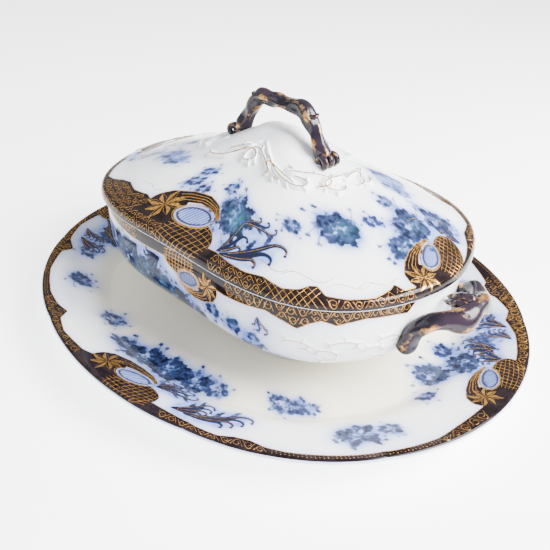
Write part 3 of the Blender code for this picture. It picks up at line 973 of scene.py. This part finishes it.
def bright_gold(name):
    """Gold lines, a little worn."""
    n = Nodes(name)
    worn = n.noise(420.0, 4.0)
    n.link(n.mix(n.spread(worn, 0.35, 0.65), (0.30, 0.135, 0.022), (0.60, 0.32, 0.062)),
           n.shader.inputs["Base Color"])
    n.shader.inputs["Metallic"].default_value = 0.85
    n.link(n.spread(worn, 0.2, 0.8, 0.22, 0.42), n.shader.inputs["Roughness"])
    n.bump(worn, 0.2, 0.0002)
    return n.material


def branch_glaze(name):
    """The handles: dark glaze with patches of gold."""
    n = Nodes(name)
    cloud = n.noise(240.0, 5.0, 0.65)
    broad = n.noise(42.0, 3.0)
    dark = n.mix(n.spread(broad, 0.35, 0.65), (0.005, 0.004, 0.008), (0.020, 0.012, 0.020))
    mask = n.math("ADD", n.value("gild"), n.math("MULTIPLY", n.math("SUBTRACT", cloud, 0.5), 1.3))
    mask = n.spread(mask, 0.46, 0.86)
    gold = n.mix(n.spread(n.noise(300.0), 0.35, 0.65), (0.26, 0.11, 0.03), (0.62, 0.34, 0.11))
    n.link(n.mix(mask, dark, gold), n.shader.inputs["Base Color"])
    n.link(n.math("MULTIPLY", mask, 0.8), n.shader.inputs["Metallic"])
    n.link(n.spread(cloud, 0.2, 0.8, 0.10, 0.26), n.shader.inputs["Roughness"])
    n.shader.inputs["Specular IOR Level"].default_value = 0.28
    n.bump(cloud, 0.25, 0.0006)
    return n.material


def tube(points, radii, sides=22, ribs=0.10, rib_count=5, twist=9.0, lumps=0.10, lump_rate=5.0, phase=0.0,
         squash=1.0, seed=1):
    """A sweep along a smooth path with twisted ribs and lumps; returns vertices, quads and gilding."""
    line = smooth_line(np.column_stack([points, radii]), 0.00070)
    p = line[:, :3]
    r = line[:, 3]
    n = len(p)
    t = np.linspace(0, 1, n)
    way = np.gradient(p, axis=0)
    way /= np.linalg.norm(way, axis=1, keepdims=True)
    side = np.cross(way[0], (0.0, 0.0, 1.0))
    if np.linalg.norm(side) < 0.2:
        side = np.cross(way[0], (0.0, 1.0, 0.0))
    side /= np.linalg.norm(side)
    ends = np.minimum(np.sqrt(np.clip(t * n / 6.0, 0.02, 1)), np.sqrt(np.clip((1 - t) * n / 6.0, 0.02, 1)))
    rings = []
    gild = []
    turn = np.linspace(0, 2 * np.pi, sides, endpoint=False)
    for i in range(n):
        side = side - way[i] * np.dot(side, way[i])
        side /= np.linalg.norm(side)
        up = np.cross(side, way[i])
        rib = np.cos(rib_count * turn + twist * t[i] + phase)
        lump = np.sin(lump_rate * 2 * np.pi * t[i] + phase + 1.5 * np.cos(turn + seed)) * np.cos(2 * turn
                                                                                                 + 3 * seed)
        radius = r[i] * ends[i] * (1 + ribs * rib + lumps * lump)
        rings.append(p[i] + np.outer(np.cos(turn) * radius, side) * 1.0
                     + np.outer(np.sin(turn) * radius * squash, up))
        gild.append(0.30 + 0.28 * rib + 0.22 * lump)
    verts = np.concatenate(rings)
    faces = []
    for i in range(n - 1):
        for j in range(sides):
            a = i * sides + j
            b = i * sides + (j + 1) % sides
            faces.append((a, b, b + sides, a + sides))
    verts = np.concatenate([verts, p[:1], p[-1:]])
    caps = [(j, len(verts) - 2, (j + 1) % sides) for j in range(sides)]
    top = (n - 1) * sides
    caps += [(top + j, top + (j + 1) % sides, len(verts) - 1) for j in range(sides)]
    return verts, faces + caps, np.concatenate([np.concatenate(gild), [0.3, 0.3]])


def spiral(centre, axis_u, axis_v, radius, start, hand, turns, rise=None, count=16, inner=0.25):
    """A spiral in space, in the plane of two axes, that may rise out of it."""
    t = np.linspace(0, 1, count)
    a = math.radians(start) + hand * t * turns * 2 * math.pi
    r = radius * (1 - (1 - inner) * t)
    out = np.asarray(centre)[None] + np.outer(r * np.cos(a), axis_u) + np.outer(r * np.sin(a), axis_v)
    if rise is not None:
        out = out + np.outer(t, rise)
    return out


def branch_object(name, parts, body, node):
    """Tubes joined into one branch, each point with its share of gilding."""
    points, faces, gild = [], [], []
    count = 0
    for p, f, g in parts:
        points.append(p)
        gild.append(g)
        faces.extend([tuple(int(k) + count for k in q) for q in f])
        count += len(p)
    mesh = bpy.data.meshes.new(name)
    mesh.from_pydata(np.concatenate(points).tolist(), [], faces)
    layer = mesh.attributes.new("gild", "FLOAT", "POINT")
    layer.data.foreach_set("value", np.concatenate(gild).astype(np.float32))
    put_in_scene(name, mesh, body, node, branch)


# ---- what is printed and gilded on each piece ----
printed = printed_glaze("printed_glaze")
plain = white_glaze("white_glaze")
gold = bright_gold("bright_gold")
branch = branch_glaze("branch_glaze")

lid_print = Print(lid_sheet, 11)
bowl_print = Print(bowl_sheet, 12)
stand_print = Print(stand_sheet, 13)

LID_EDGE_HEIGHTS = ((224, 10), (227, 14), (230, 22), (234, 27), (240, 25), (246, 28), (251, 24), (258, 14),
                    (266, 9),
                    (280, 13), (284, 14), (289, 12), (294, 11), (299, 13), (304, 9), (308, 11), (311, 15),
                    (313, 15.5),
                    (314.5, 9), (320, 7), (328, 7), (334, 11), (336, 13.5), (338, 8), (343, 8), (352, 9),
                    (360, 6), (370, 6),
                    (380, 9), (388, 13), (396, 10))
lid_heights = [(d % 360, h) for d, h in LID_EDGE_HEIGHTS]
lid_heights += [((d + 180) % 360, h) for d, h in LID_EDGE_HEIGHTS if 45 < (d + 180) % 360 < 215]
rim_edge(lid_print, lid_heights)


def decorate_lid(turn_on):
    """Half of the lid's print, turned by a half circle for the other half."""
    star_unit(lid_print, 255 + turn_on, 27, 13.8, 1, 0)
    star_unit(lid_print, 348 + turn_on, 12.0, 10.4, 1, 30)
    vine(lid_print, 226 + turn_on, 249 + turn_on, 1.2, under_edge(lid_print, 1.5), 7.6, 0.12)
    vine(lid_print, 249 + turn_on, 262 + turn_on, 1.2, 12.5, 7.6, 0.12)
    vine(lid_print, 283 + turn_on, 299 + turn_on, 1.0, under_edge(lid_print, 1.0), 8.4, 0.13)
    netting(lid_print, 300.5 + turn_on, 312 + turn_on, 0.8, 16.0, 4.8, 0.16)
    vine(lid_print, 314.5 + turn_on, 341 + turn_on, 0.9, under_edge(lid_print, 0.8), 8.0, 0.13)
    vine(lid_print, 20 + turn_on, 46 + turn_on, 1.0, under_edge(lid_print, 1.0), 8.6, 0.13)
    # bunches of flowers
    for degrees, *bunch in (
            (284, 43, 17, 2, 20, 0.95, 1.0, 1.25), (253, 55, 8, 1, 70, 0.0, 0.8),
            (261, 49, 7, 1, 20, 0.0, 0.8), (252, 68, 7, 1, 120, 0.0, 0.7), (274, 58, 7, 1, 60, 0.0, 0.7),
            (222, 68, 15, 1, 10, 0.1, 0.55, 1.3), (208, 24, 7, 1, 10, 0.0, 0.5),
            (206, 48, 7, 1, 10, 0.0, 0.45), (308, 58, 8, 1, 80, 0.1, 0.8),
            (328, 60, 17, 2, 100, 0.6, 1.0, 1.15), (349, 62, 7, 0, 20, 0.0, 0.8),
            (8, 46, 17, 2, 75, 0.25, 1.0, 1.2), (352, 34, 13, 1, 60, 0.2, 1.0, 1.15),
            (24, 33, 13, 1, 80, 0.1, 0.95, 1.2), (12, 70, 8, 1, 30, 0.0, 0.7),
            (34, 60, 8, 0, 30, 0.0, 0.5)):
        lid_print.spray(degrees + turn_on, *bunch)
    # blue scrolls with gold edges
    for degrees, *scroll in (
            (284, 15, 62, 38, -1, 1.0, 3, 34), (285, 14, 26, 58, -1, 0.95, 3, 18),
            (289, 43, 12, 30, 1, 0.8, 3, 26), (19, 14, 60, 24, 1, 0.8, 4, 50)):
        lid_print.plume(degrees + turn_on, *scroll)
    x, y, mask = lid_print.window(282 + turn_on, 22, 26)
    lid_print.wash[mask] = np.maximum(lid_print.wash[mask], 0.45 * np.exp(-(x / 15) ** 2 - (y / 10) ** 2))
    # gold hairlines over the white
    for degrees, w, cx, cy, radius, start, hand in (
            (300, 22, 0, 0, 8, 200, -1), (309, 19, 4, 2, 10, 190, -1), (322, 13, 0, 3, 9, 180, -1),
            (331, 14, 0, 2, 8, 200, -1),
            (18, 64, 0, 0, 6, 30, 1), (10, 48, 6, 0, 6, 80, -1), (243, 36, 0, 0, 6, 160, -1)):
        xs = np.linspace(-1.6, 1.6, 24) * radius
        ys = cy + hand * 0.30 * radius * np.sin(xs / radius * 2.1) + 0.08 * xs
        lid_print.gold(degrees + turn_on, w, cx + xs, ys, 0.18)
    # moulded scrolls round the handle, picked out in gold
    for degrees, w, radius, start, hand, turns in (
            (246, 95, 11, 200, 1, 0.8), (264, 84, 12, 160, -1, 0.7), (286, 86, 15, 200, -1, 0.6),
            (300, 92, 10, 20, 1, 0.8),
            (314, 100, 12, 180, 1, 0.7), (332, 99, 13, 150, -1, 0.7), (350, 95, 11, 60, 1, 0.8),
            (12, 92, 11, 120, -1, 0.7),
            (26, 88, 9, 60, 1, 0.7)):
        line = curl(0, 0, radius, start, hand, turns, 30, 0.25)
        moulded(lid_print, degrees + turn_on, w, radius, hand, line, LID_MOULDING)


for half_circle in (0, 180):
    decorate_lid(half_circle)
lid_print.lift = blur(lid_print.lift, lid_sheet, 0.8) * LID_RELIEF

BOWL_EDGE_HEIGHTS = ((222, 5), (232, 6), (244, 9), (250, 10), (258, 10), (272, 9), (282, 10), (288, 12),
                     (294, 11), (300, 9),
                     (305, 13), (308, 16), (311, 11), (314, 8), (318, 11), (321, 9), (326, 7), (336, 8),
                     (341, 9), (344, 3),
                     (346, 0), (372, 0), (376, 3), (380, 8), (392, 6))
bowl_heights = [(d % 360, h) for d, h in BOWL_EDGE_HEIGHTS]
bowl_heights += [((d + 180) % 360, h) for d, h in BOWL_EDGE_HEIGHTS if 40 < (d + 180) % 360 < 212]
rim_edge(bowl_print, [(d, h - 0.01) for d, h in bowl_heights])


def decorate_bowl(turn_on):
    """Half of the bowl's print, turned by a half circle for the other half."""
    star_unit(bowl_print, 282 + turn_on, 14.0, 9.4, -1, 8)
    vine(bowl_print, 288 + turn_on, 342 + turn_on, 0.8, under_edge(bowl_print, 0.8), 7.6, 0.13)
    vine(bowl_print, 224 + turn_on, 252 + turn_on, 0.8, under_edge(bowl_print, 0.8), 7.6, 0.13)
    for degrees, *bunch in (
            (243, 26, 13, 1, 60, 0.5, 0.9, 1.2), (251, 38, 15, 2, 40, 0.95, 1.0, 1.25), (236, 22, 9, 1, 20,
                                                                                         0.2, 0.8, 1),
            (259, 46, 12, 1, 20, 0.7, 0.9, 1.2), (284, 29, 8, 1, 20, 0.1, 0.8, 1), (291, 32, 8, 1, 40, 0.2,
                                                                                    0.8, 1),
            (297, 34, 6, 1, 100, 0.0, 0.7, 1), (296, 50, 12, 1, 10, 0.6, 0.95, 1.5), (276, 44, 12, 1, 20,
                                                                                      0.4, 0.8, 1.2),
            (304, 52, 9, 0, 10, 0.4, 0.9, 1.5), (357, 42, 10, 1, 30, 0.9, 0.9, 1.2), (20, 36, 11, 1, 60,
                                                                                      0.5, 0.9, 1.2),
            (228, 40, 8, 1, 60, 0.3, 0.8, 1), (252, 52, 12, 1, 30, 0.8, 1.0, 1.3), (262, 56, 11, 1, 10, 0.7,
                                                                                    1.0, 1.4),
            (246, 48, 12, 1, 40, 0.8, 1.0, 1.2), (262, 34, 11, 1, 30, 0.8, 1.0, 1.3),
            (247, 20, 9, 1, 50, 0.4, 1.0, 1.2), (256, 28, 11, 1, 50, 0.8, 1.0, 1.2),
            (266, 40, 12, 1, 10, 0.6, 1.0, 1.4), (240, 38, 11, 1, 50, 0.7, 1.0, 1.2), (270, 52, 11, 0, 10,
                                                                                       0.6, 1.0, 1.4)):
        bowl_print.spray(degrees + turn_on, *bunch)
    for degrees, *scroll in (
            (262, 14, 120, 30, 1, 1.0, 5, 70, False), (252, 14, 100, 26, 1, 1.0, 5, 80, False),
            (243, 12, 80, 24, 1, 0.9, 5, 70, False), (268, 30, 70, 26, -1, 0.9, 5, 60, False),
            (298, 16, 60, 16, 1, 0.7, 3, 50)):
        bowl_print.plume(degrees + turn_on, *scroll)
    for degrees, w, radius, start, hand, turns in (
            (309, 29, 8, 200, 1, 0.8), (315, 33, 7, 20, -1, 0.8), (322, 27, 9, 180, 1, 0.8), (329, 32, 7,
                                                                                              30, -1, 0.8),
            (336, 26, 7, 200, 1, 0.8), (318, 40, 6, 120, 1, 0.7), (332, 41, 6, 60, -1, 0.7)):
        line = curl(0, 0, radius, start, hand, turns * 0.8, 26, 0.25)
        moulded(bowl_print, degrees + turn_on, w, radius, hand, line, BOWL_MOULDING)


for half_circle in (0, 180):
    decorate_bowl(half_circle)
bowl_print.lift = blur(bowl_print.lift, bowl_sheet, 0.7) * BOWL_RELIEF

STAND_EDGE_HEIGHTS = ((192, 10), (198, 7), (204, 5), (212, 7), (216, 15), (219, 8), (228, 5), (238, 6),
                      (243, 9), (246, 14),
                      (249, 7), (254, 5), (260, 8), (266, 10), (276, 7), (284, 9), (288, 8), (294, 5.5),
                      (298, 5), (301, 8.5),
                      (304, 9), (307, 5.5), (310, 4.6), (330, 4.2), (340, 5), (346, 8), (350, 9), (358, 10),
                      (366, 8), (378, 8),
                      (386, 9), (392, 13), (396, 9), (402, 13), (406, 20), (409, 12), (418, 8))
stand_heights = [(d % 360, h) for d, h in STAND_EDGE_HEIGHTS]
stand_heights += [((d + 180) % 360, h) for d, h in STAND_EDGE_HEIGHTS if 60 < (d + 180) % 360 < 190]
rim_edge(stand_print, stand_heights)


def decorate_stand(turn_on):
    """Half of the stand's print, turned by a half circle for the other half."""
    star_unit(stand_print, 267 + turn_on, 17, 11.5, 1, 10)
    star_unit(stand_print, 359 + turn_on, 14, 10.0, 1, 14)
    for low, high, cell in ((192, 222, 9.5), (240, 262, 9.0), (286, 307, 8.5), (340, 354, 9.0),
                            (20, 50, 10.0)):
        vine(stand_print, low + turn_on, high + turn_on, 0.9, under_edge(stand_print, 0.8), cell, 0.13)
    # short stitches of gold where the rim is plain
    for low, high in ((222, 240), (308, 340), (50, 72)):
        for k, degrees in enumerate(np.arange(low, high, 0.75)):
            for lane in range(2):
                w = 1.8 + 1.7 * lane + (0.5 if k % 2 else 0.0)
                stand_print.gold(degrees + turn_on, w, [-0.32, 0.0, 0.32], [0, 0.02, 0], [0.1, 0.3, 0.1])
    for degrees, *bunch in (
            (229, 29, 11, 1, 80, 0.0, 0.75, 1.1), (246, 48, 11, 1, 30, 0.0, 0.8, 1.2), (259, 44, 12, 1, 20,
                                                                                        0.15, 0.95, 1.2),
            (266, 48, 15, 1, 10, 0.1, 1.0, 1.4), (275, 53, 16, 2, 0, 0.1, 1.0, 1.4), (284, 55, 13, 1, 0,
                                                                                      0.1, 1.0, 1.4),
            (291, 58, 10, 0, 0, 0.0, 0.8, 1.5), (281, 36, 10, 1, 30, 0.0, 0.7, 1.2), (312, 63, 11, 1, 0,
                                                                                      0.0, 0.85, 1.5),
            (319, 62, 7, 1, 0, 0.0, 0.7, 1.3), (326, 24, 13, 1, 0, 0.0, 0.95, 1.5), (334, 26, 8, 1, 0, 0.0,
                                                                                     0.8, 1.3),
            (4, 58, 15, 2, 60, 0.2, 1.0, 1.2), (12, 42, 14, 1, 60, 0.1, 1.0, 1.2), (352, 46, 9, 1, 30, 0.0,
                                                                                    0.8, 1),
            (22, 34, 12, 1, 40, 0.0, 0.8, 1.1), (18, 60, 10, 1, 60, 0.0, 0.9, 1), (34, 27, 10, 1, 40, 0.0,
                                                                                   0.7, 1.1),
            (50, 32, 9, 1, 40, 0.0, 0.7, 1.1), (204, 30, 9, 1, 20, 0.0, 0.6, 1.1)):
        stand_print.spray(degrees + turn_on, *bunch)
    for degrees, *scroll in (
            (287, 14, 40, 34, -1, 1.0, 5, 40), (290, 13, 24, 52, -1, 0.9, 4, 20),
            (280, 26, 20, 34, 1, 0.9, 5, 60), (20, 22, 75, 30, 1, 0.8, 5, 60),
            (29, 14, 80, 30, -1, 0.8, 5, 50), (195, 16, 55, 30, 1, 0.9, 5, 60),
            (204, 12, 70, 24, -1, 0.7, 5, 50)):
        stand_print.plume(degrees + turn_on, *scroll)
    for degrees, w, reach, level in ((272, 34, 24, 0.30), (290, 18, 20, 0.35), (16, 26, 30, 0.38),
                                     (36, 20, 24, 0.35),
                                     (198, 22, 24, 0.35), (58, 18, 22, 0.3)):
        x, y, mask = stand_print.window(degrees + turn_on, w, reach * 1.6)
        stand_print.wash[mask] = np.maximum(stand_print.wash[mask],
                                            level * np.exp(-(x / reach) ** 2 - (y / (reach * 0.55)) ** 2))


for half_circle in (0, 180):
    decorate_stand(half_circle)

for one in (lid_print, bowl_print, stand_print):
    one.ink = np.where(one.dark < 0.3, 0.0, one.ink)
    contour(one)

# ---- the glazed pieces ----
lid_back = smooth_line([
    (lid_half * 0.9996, lid_rim + 0.0008), (lid_half * 0.9960, lid_rim + 0.0001), (lid_half - 0.0104,
                                                                                   lid_rim + 0.0001),
    (lid_half - 0.0135, lid_rim + 0.0052), (lid_half * 0.880, lid_top - 0.0554), (lid_half * 0.750,
                                                                                  lid_top - 0.0480),
    (lid_half * 0.600, lid_top - 0.0400), (lid_half * 0.450, lid_top - 0.0327), (lid_half * 0.300,
                                                                                 lid_top - 0.0231),
    (lid_half * 0.150, lid_top - 0.0120), (0.0012, lid_top - 0.0044)], 0.0045)
shell("lid_glazed", lid_sheet, lid_back, lid_print, "lid", (lid_top, lid_top - 0.0044))
bowl_back = smooth_line([
    (bowl_half * 0.988, bowl_rim), (bowl_half * 0.971, bowl_rim - 0.0010), (bowl_half * 0.974,
                                                                            bowl_rim - 0.0060),
    (bowl_half * 0.975, bowl_rim - 0.0140), (bowl_half * 0.972, bowl_rim - 0.0240), (bowl_half * 0.962,
                                                                                     bowl_rim - 0.0330),
    (bowl_half * 0.932, bowl_rim - 0.0415), (bowl_half * 0.860, bowl_rim - 0.0485), (bowl_half * 0.730,
                                                                                     bowl_rim - 0.0555),
    (bowl_half * 0.580, bowl_rim - 0.0615), (bowl_half * 0.300, bowl_rim - 0.0630),
    (0.0012, bowl_rim - 0.0630)], 0.0040)
shell("bowl_glazed", bowl_sheet, bowl_back, bowl_print, "bowl", (bowl_rim - 0.0674, bowl_rim - 0.0630))
stand_back = smooth_line([
    (stand_half - 0.0002, stand_rim - 0.0020), (stand_half - 0.0010, stand_rim - 0.0036),
    (0.1880, stand_rim - 0.0064),
    (0.1740, well + 0.0086), (0.1610, well + 0.0042), (0.1500, well - 0.0022), (0.1390,
                                                                                well - 0.0046), (0.1375,
                                                                                                 0.0006),
    (0.1360, 0.0001), (0.1330, 0.0001), (0.1318, 0.0006), (0.1300, well - 0.0046), (0.1200, well - 0.0046),
    (0.0012, well - 0.0046)],
    0.0030)
# the inner well, from 32 mm in from the rim's edge, takes a cream tint: partly the glaze's warmer tone,
# partly painted shade under the overhanging bowl
well_cream_and_shade = np.clip((stand_sheet.up - 32.0) / 18.0, 0, 1)
shell("stand_glazed", stand_sheet, stand_back, stand_print, "stand", (well, well - 0.0046), well_cream_and_shade)


def spun(name, line, body, node, columns=300):
    """A plain white ring: a closed section taken round the oval of the body."""
    rows = len(line)
    turn = np.linspace(0, 2 * np.pi, columns, endpoint=False)
    grid = swept(turn, line, body_shape)
    i = np.arange(columns)[:, None]
    j = np.arange(rows)[None]
    here, beside = i * rows, (i + 1) % columns * rows
    above = (j + 1) % rows
    quads = corners((columns, rows), here + j, beside + j, beside + above, here + above)
    mesh = bpy.data.meshes.new(name)
    mesh.from_pydata(grid.reshape(-1, 3).tolist(), [], quads.tolist())
    put_in_scene(name, mesh, body, node, plain)


foot_wide = FOOT_HI[0] / BODY_AXIS
foot_top, foot_low = FOOT_HI[2], FOOT_LO[2]
spun("bowl_foot_glazed", smooth_line([
    (foot_wide - 0.0130, foot_top), (foot_wide - 0.0140, foot_top - 0.0040), (foot_wide - 0.0105,
                                                                              foot_low + 0.0060),
    (foot_wide - 0.0030, foot_low + 0.0028), (foot_wide, foot_low + 0.0014), (foot_wide - 0.0008,
                                                                              foot_low + 0.0001),
    (foot_wide - 0.0064, foot_low + 0.0001), (foot_wide - 0.0160, foot_low + 0.0050), (foot_wide - 0.0204,
                                                                                       foot_top - 0.0045),
    (foot_wide - 0.0204, foot_top)], 0.0008), "bowl", "bowl_foot")
ring_wide = RING_HI[0] / BODY_AXIS
spun("lid_ring_glazed", smooth_line([
    (ring_wide - 0.0048, RING_HI[2] - 0.0004), (ring_wide - 0.0002,
                                                RING_HI[2] - 0.0034), (ring_wide - 0.0004,
                                                                       RING_LO[2] + 0.0014),
    (ring_wide - 0.0014, RING_LO[2] + 0.0001), (ring_wide - 0.0036,
                                                RING_LO[2] + 0.0001), (ring_wide - 0.0049,
                                                                       RING_LO[2] + 0.0014),
    (ring_wide - 0.0049, RING_HI[2] - 0.0010)], 0.0008), "lid", "lid_ring")

# ---- handles ----
arch_top = ARCH_HI[2] - 0.0058
arch_foot = ARCH_HI[2] - 0.0371
rise = arch_top - arch_foot
half = [(1.02, 0.02, 1.05), (0.93, 0.22, 1.10), (0.78, 0.52, 0.85), (0.60, 0.86, 1.05), (0.44, 0.985, 1.05),
        (0.20, 1.0, 0.95)]
pts = [(-0.040 * a, 0.0, arch_foot + b * rise) for a, b, c in half]
pts += [(0.040 * a, 0.0, arch_foot + b * rise) for a, b, c in half[::-1]]
rad = [0.0056 * c for a, b, c in half]
rad = rad + rad[::-1]
parts = [tube(pts, rad, 26, 0.10, 4, 14.0, 0.13, 6.0, 0.4, 0.95, 2)]
for sign in (-1, 1):
    fx = 0.0395 * sign
    for k, (dy, ang) in enumerate(((0.0048, 30), (-0.0048, -30), (0.0, 0))):
        start = np.array((fx - 0.003 * sign, dy * 0.3, arch_foot + 0.0030))
        curlp = spiral((fx + 0.0035 * sign, dy * 1.1, arch_foot + 0.0006),
                       (sign, math.sin(math.radians(ang)) * 0.6, -0.10),
                       (0, 0, 1), 0.0050, 200, -1, 1.0, None, 14, 0.3)
        path = np.vstack([start[None], curlp])
        parts.append(tube(path, np.linspace(0.0030, 0.0015, len(path)), 12, 0.10, 3, 4.0, 0.08, 3.0, k, 1.0,
                          k))
for a, z in ((-0.024, -0.001), (-0.006, 0.002), (0.012, 0.001), (0.026, -0.003)):
    path = spiral((a, 0.0, arch_top + z + 0.0012), (1, 0, 0), (0, 0.9, 0.3), 0.0042, 160, 1, 0.9,
                  (0.004, 0, 0.0), 12, 0.4)
    parts.append(tube(path, np.linspace(0.0018, 0.0010, 12), 10, 0.05, 3, 3.0, 0.05, 2.0, a * 100, 1.0, 1))
branch_object("lid_handle_branch", parts, "lid", "lid_handle")

for word, sign in (("left", -1), ("right", 1)):
    line = [(0.1356, 0.0300, 0.0555, 0.80), (0.1374, 0.0308, 0.0570, 1.12), (0.1392, 0.0312, 0.0640, 1.08),
            (0.1432, 0.0300, 0.0725, 0.95),
            (0.1488, 0.0262, 0.0785, 0.92), (0.1550, 0.0200, 0.0800, 1.00), (0.1605, 0.0125, 0.0798,
                                                                             1.30), (0.1632, 0.0055, 0.0822,
                                                                                     1.15),
            (0.1638, 0.0, 0.0830, 1.0)]
    pts = [(sign * x, -y, z) for x, y, z, c in line] + [(sign * x, y, z) for x, y, z, c in line[:-1][::-1]]
    rad = [0.0060 * c for x, y, z, c in line]
    rad = rad + rad[:-1][::-1]
    parts = [tube(pts, rad, 30, 0.055, 3, 8.0, 0.09, 5.0, 1.2, 1.0, 3)]
    for side in (-1, 1):
        for k in range(3):
            path = spiral((sign * (0.1612 + 0.0012 * k), side * (0.0100 - 0.0012 * k), 0.0830),
                          (sign * 0.9, side * 0.35, 0.2),
                          (sign * -0.3, side * 0.8, 0.5), 0.0074 - 0.0016 * k, 190 + 40 * k, side * sign,
                          0.85, (0, 0, 0.0012 * k), 16, 0.42)
            parts.append(tube(path, np.linspace(0.0021, 0.0011, 16), 12, 0.05, 3, 3.0, 0.06, 2.0, k, 1.0, k))
    leaf = [(0.1628, 0.0, 0.0850, 0.0036), (0.1590, 0.0, 0.0872, 0.0052), (0.1540, 0.0, 0.0862, 0.0058),
            (0.1490, 0.0, 0.0842, 0.0050),
            (0.1440, 0.0, 0.0826, 0.0036)]
    for dy, grow in ((0.0, 1.0), (-0.0058, 0.72), (0.0058, 0.72)):
        path = [(sign * x, dy * (1 - 0.35 * i / 4) + 0.0006 * math.sin(i * 2.2), z - abs(dy) * 0.25) for i,
                (x, y, z, r) in enumerate(leaf)]
        parts.append(tube(path, [r * grow * 0.68 for x, y, z, r in leaf], 18, 0.12, 4, 6.0, 0.14, 4.0,
                          dy * 200, 0.8, 4))
    branch_object("bowl_handle_" + word + "_branch", parts, "bowl", "bowl_handle_" + word)

# ---- floor, light and camera ----
FLOOR_REACH = 6.0
floor_mesh = bpy.data.meshes.new("studio_floor")
corners_of_floor = [(x * FLOOR_REACH, y * FLOOR_REACH, 0) for x, y in ((-1, -1), (1, -1), (1, 1), (-1, 1))]
floor_mesh.from_pydata(corners_of_floor, [], [(0, 1, 2, 3)])
floor = bpy.data.objects.new("studio_floor", floor_mesh)
bpy.context.scene.collection.objects.link(floor)
f = Nodes("studio_floor")
f.link(f.mix(f.noise(3.0), (0.90, 0.90, 0.91), (0.92, 0.92, 0.93)), f.shader.inputs["Base Color"])
f.shader.inputs["Roughness"].default_value = 0.9
f.shader.inputs["Emission Color"].default_value = (0.98, 0.99, 1.0, 1.0)
f.shader.inputs["Emission Strength"].default_value = 2.4
f.shader.inputs["Specular IOR Level"].default_value = 0.1
floor_mesh.materials.append(f.material)

world = bpy.context.scene.world or bpy.data.worlds.new("studio")
bpy.context.scene.world = world
world.use_nodes = True
world.node_tree.nodes["Background"].inputs["Color"].default_value = (0.93, 0.95, 1.0, 1.0)
world.node_tree.nodes["Background"].inputs["Strength"].default_value = 0.85


def softbox(name, place, aim, size, power, colour):
    """An area light that looks at a point."""
    light = bpy.data.lights.new(name, "AREA")
    light.shape = "RECTANGLE"
    light.size, light.size_y = size
    light.energy = power
    light.color = colour
    made = bpy.data.objects.new(name, light)
    bpy.context.scene.collection.objects.link(made)
    made.location = place
    made.rotation_mode = "QUATERNION"
    made.rotation_quaternion = (Vector(aim) - Vector(place)).to_track_quat("-Z", "Y")


softbox("window", (0.95, 0.35, 0.95), (0.0, 0.0, 0.05), (0.9, 0.7), 120.0, (1.0, 0.99, 0.97))
softbox("fill", (-0.6, -1.0, 1.1), (0.0, 0.0, 0.05), (1.2, 0.9), 9.0, (0.93, 0.96, 1.0))

AZIMUTH, ELEVATION, ROLL, DISTANCE = 42.0, 30.1, 2.51, 0.48
AIM = Vector((0, 0, 0.06))
LENS, SHIFT_X, SHIFT_Y = 40.65, -0.0027, -0.0596
a, e, r = (math.radians(k) for k in (AZIMUTH, ELEVATION, ROLL))
back = Vector((math.sin(a) * math.cos(e), -math.cos(a) * math.cos(e), math.sin(e)))
across = Vector((math.cos(a), math.sin(a), 0.0))
upward = back.cross(across)
right = across * math.cos(r) + upward * math.sin(r)
top = upward * math.cos(r) - across * math.sin(r)
camera_data = bpy.data.cameras.new("camera")
camera = bpy.data.objects.new("camera", camera_data)
bpy.context.scene.collection.objects.link(camera)
camera.matrix_world = Matrix.Translation(AIM + back
                                         * DISTANCE) @ Matrix((right, top, back)).transposed().to_4x4()
camera_data.sensor_width = 36.0
camera_data.lens = LENS
camera_data.shift_x = SHIFT_X
camera_data.shift_y = SHIFT_Y
camera_data.clip_start = 0.02
bpy.context.scene.camera = camera
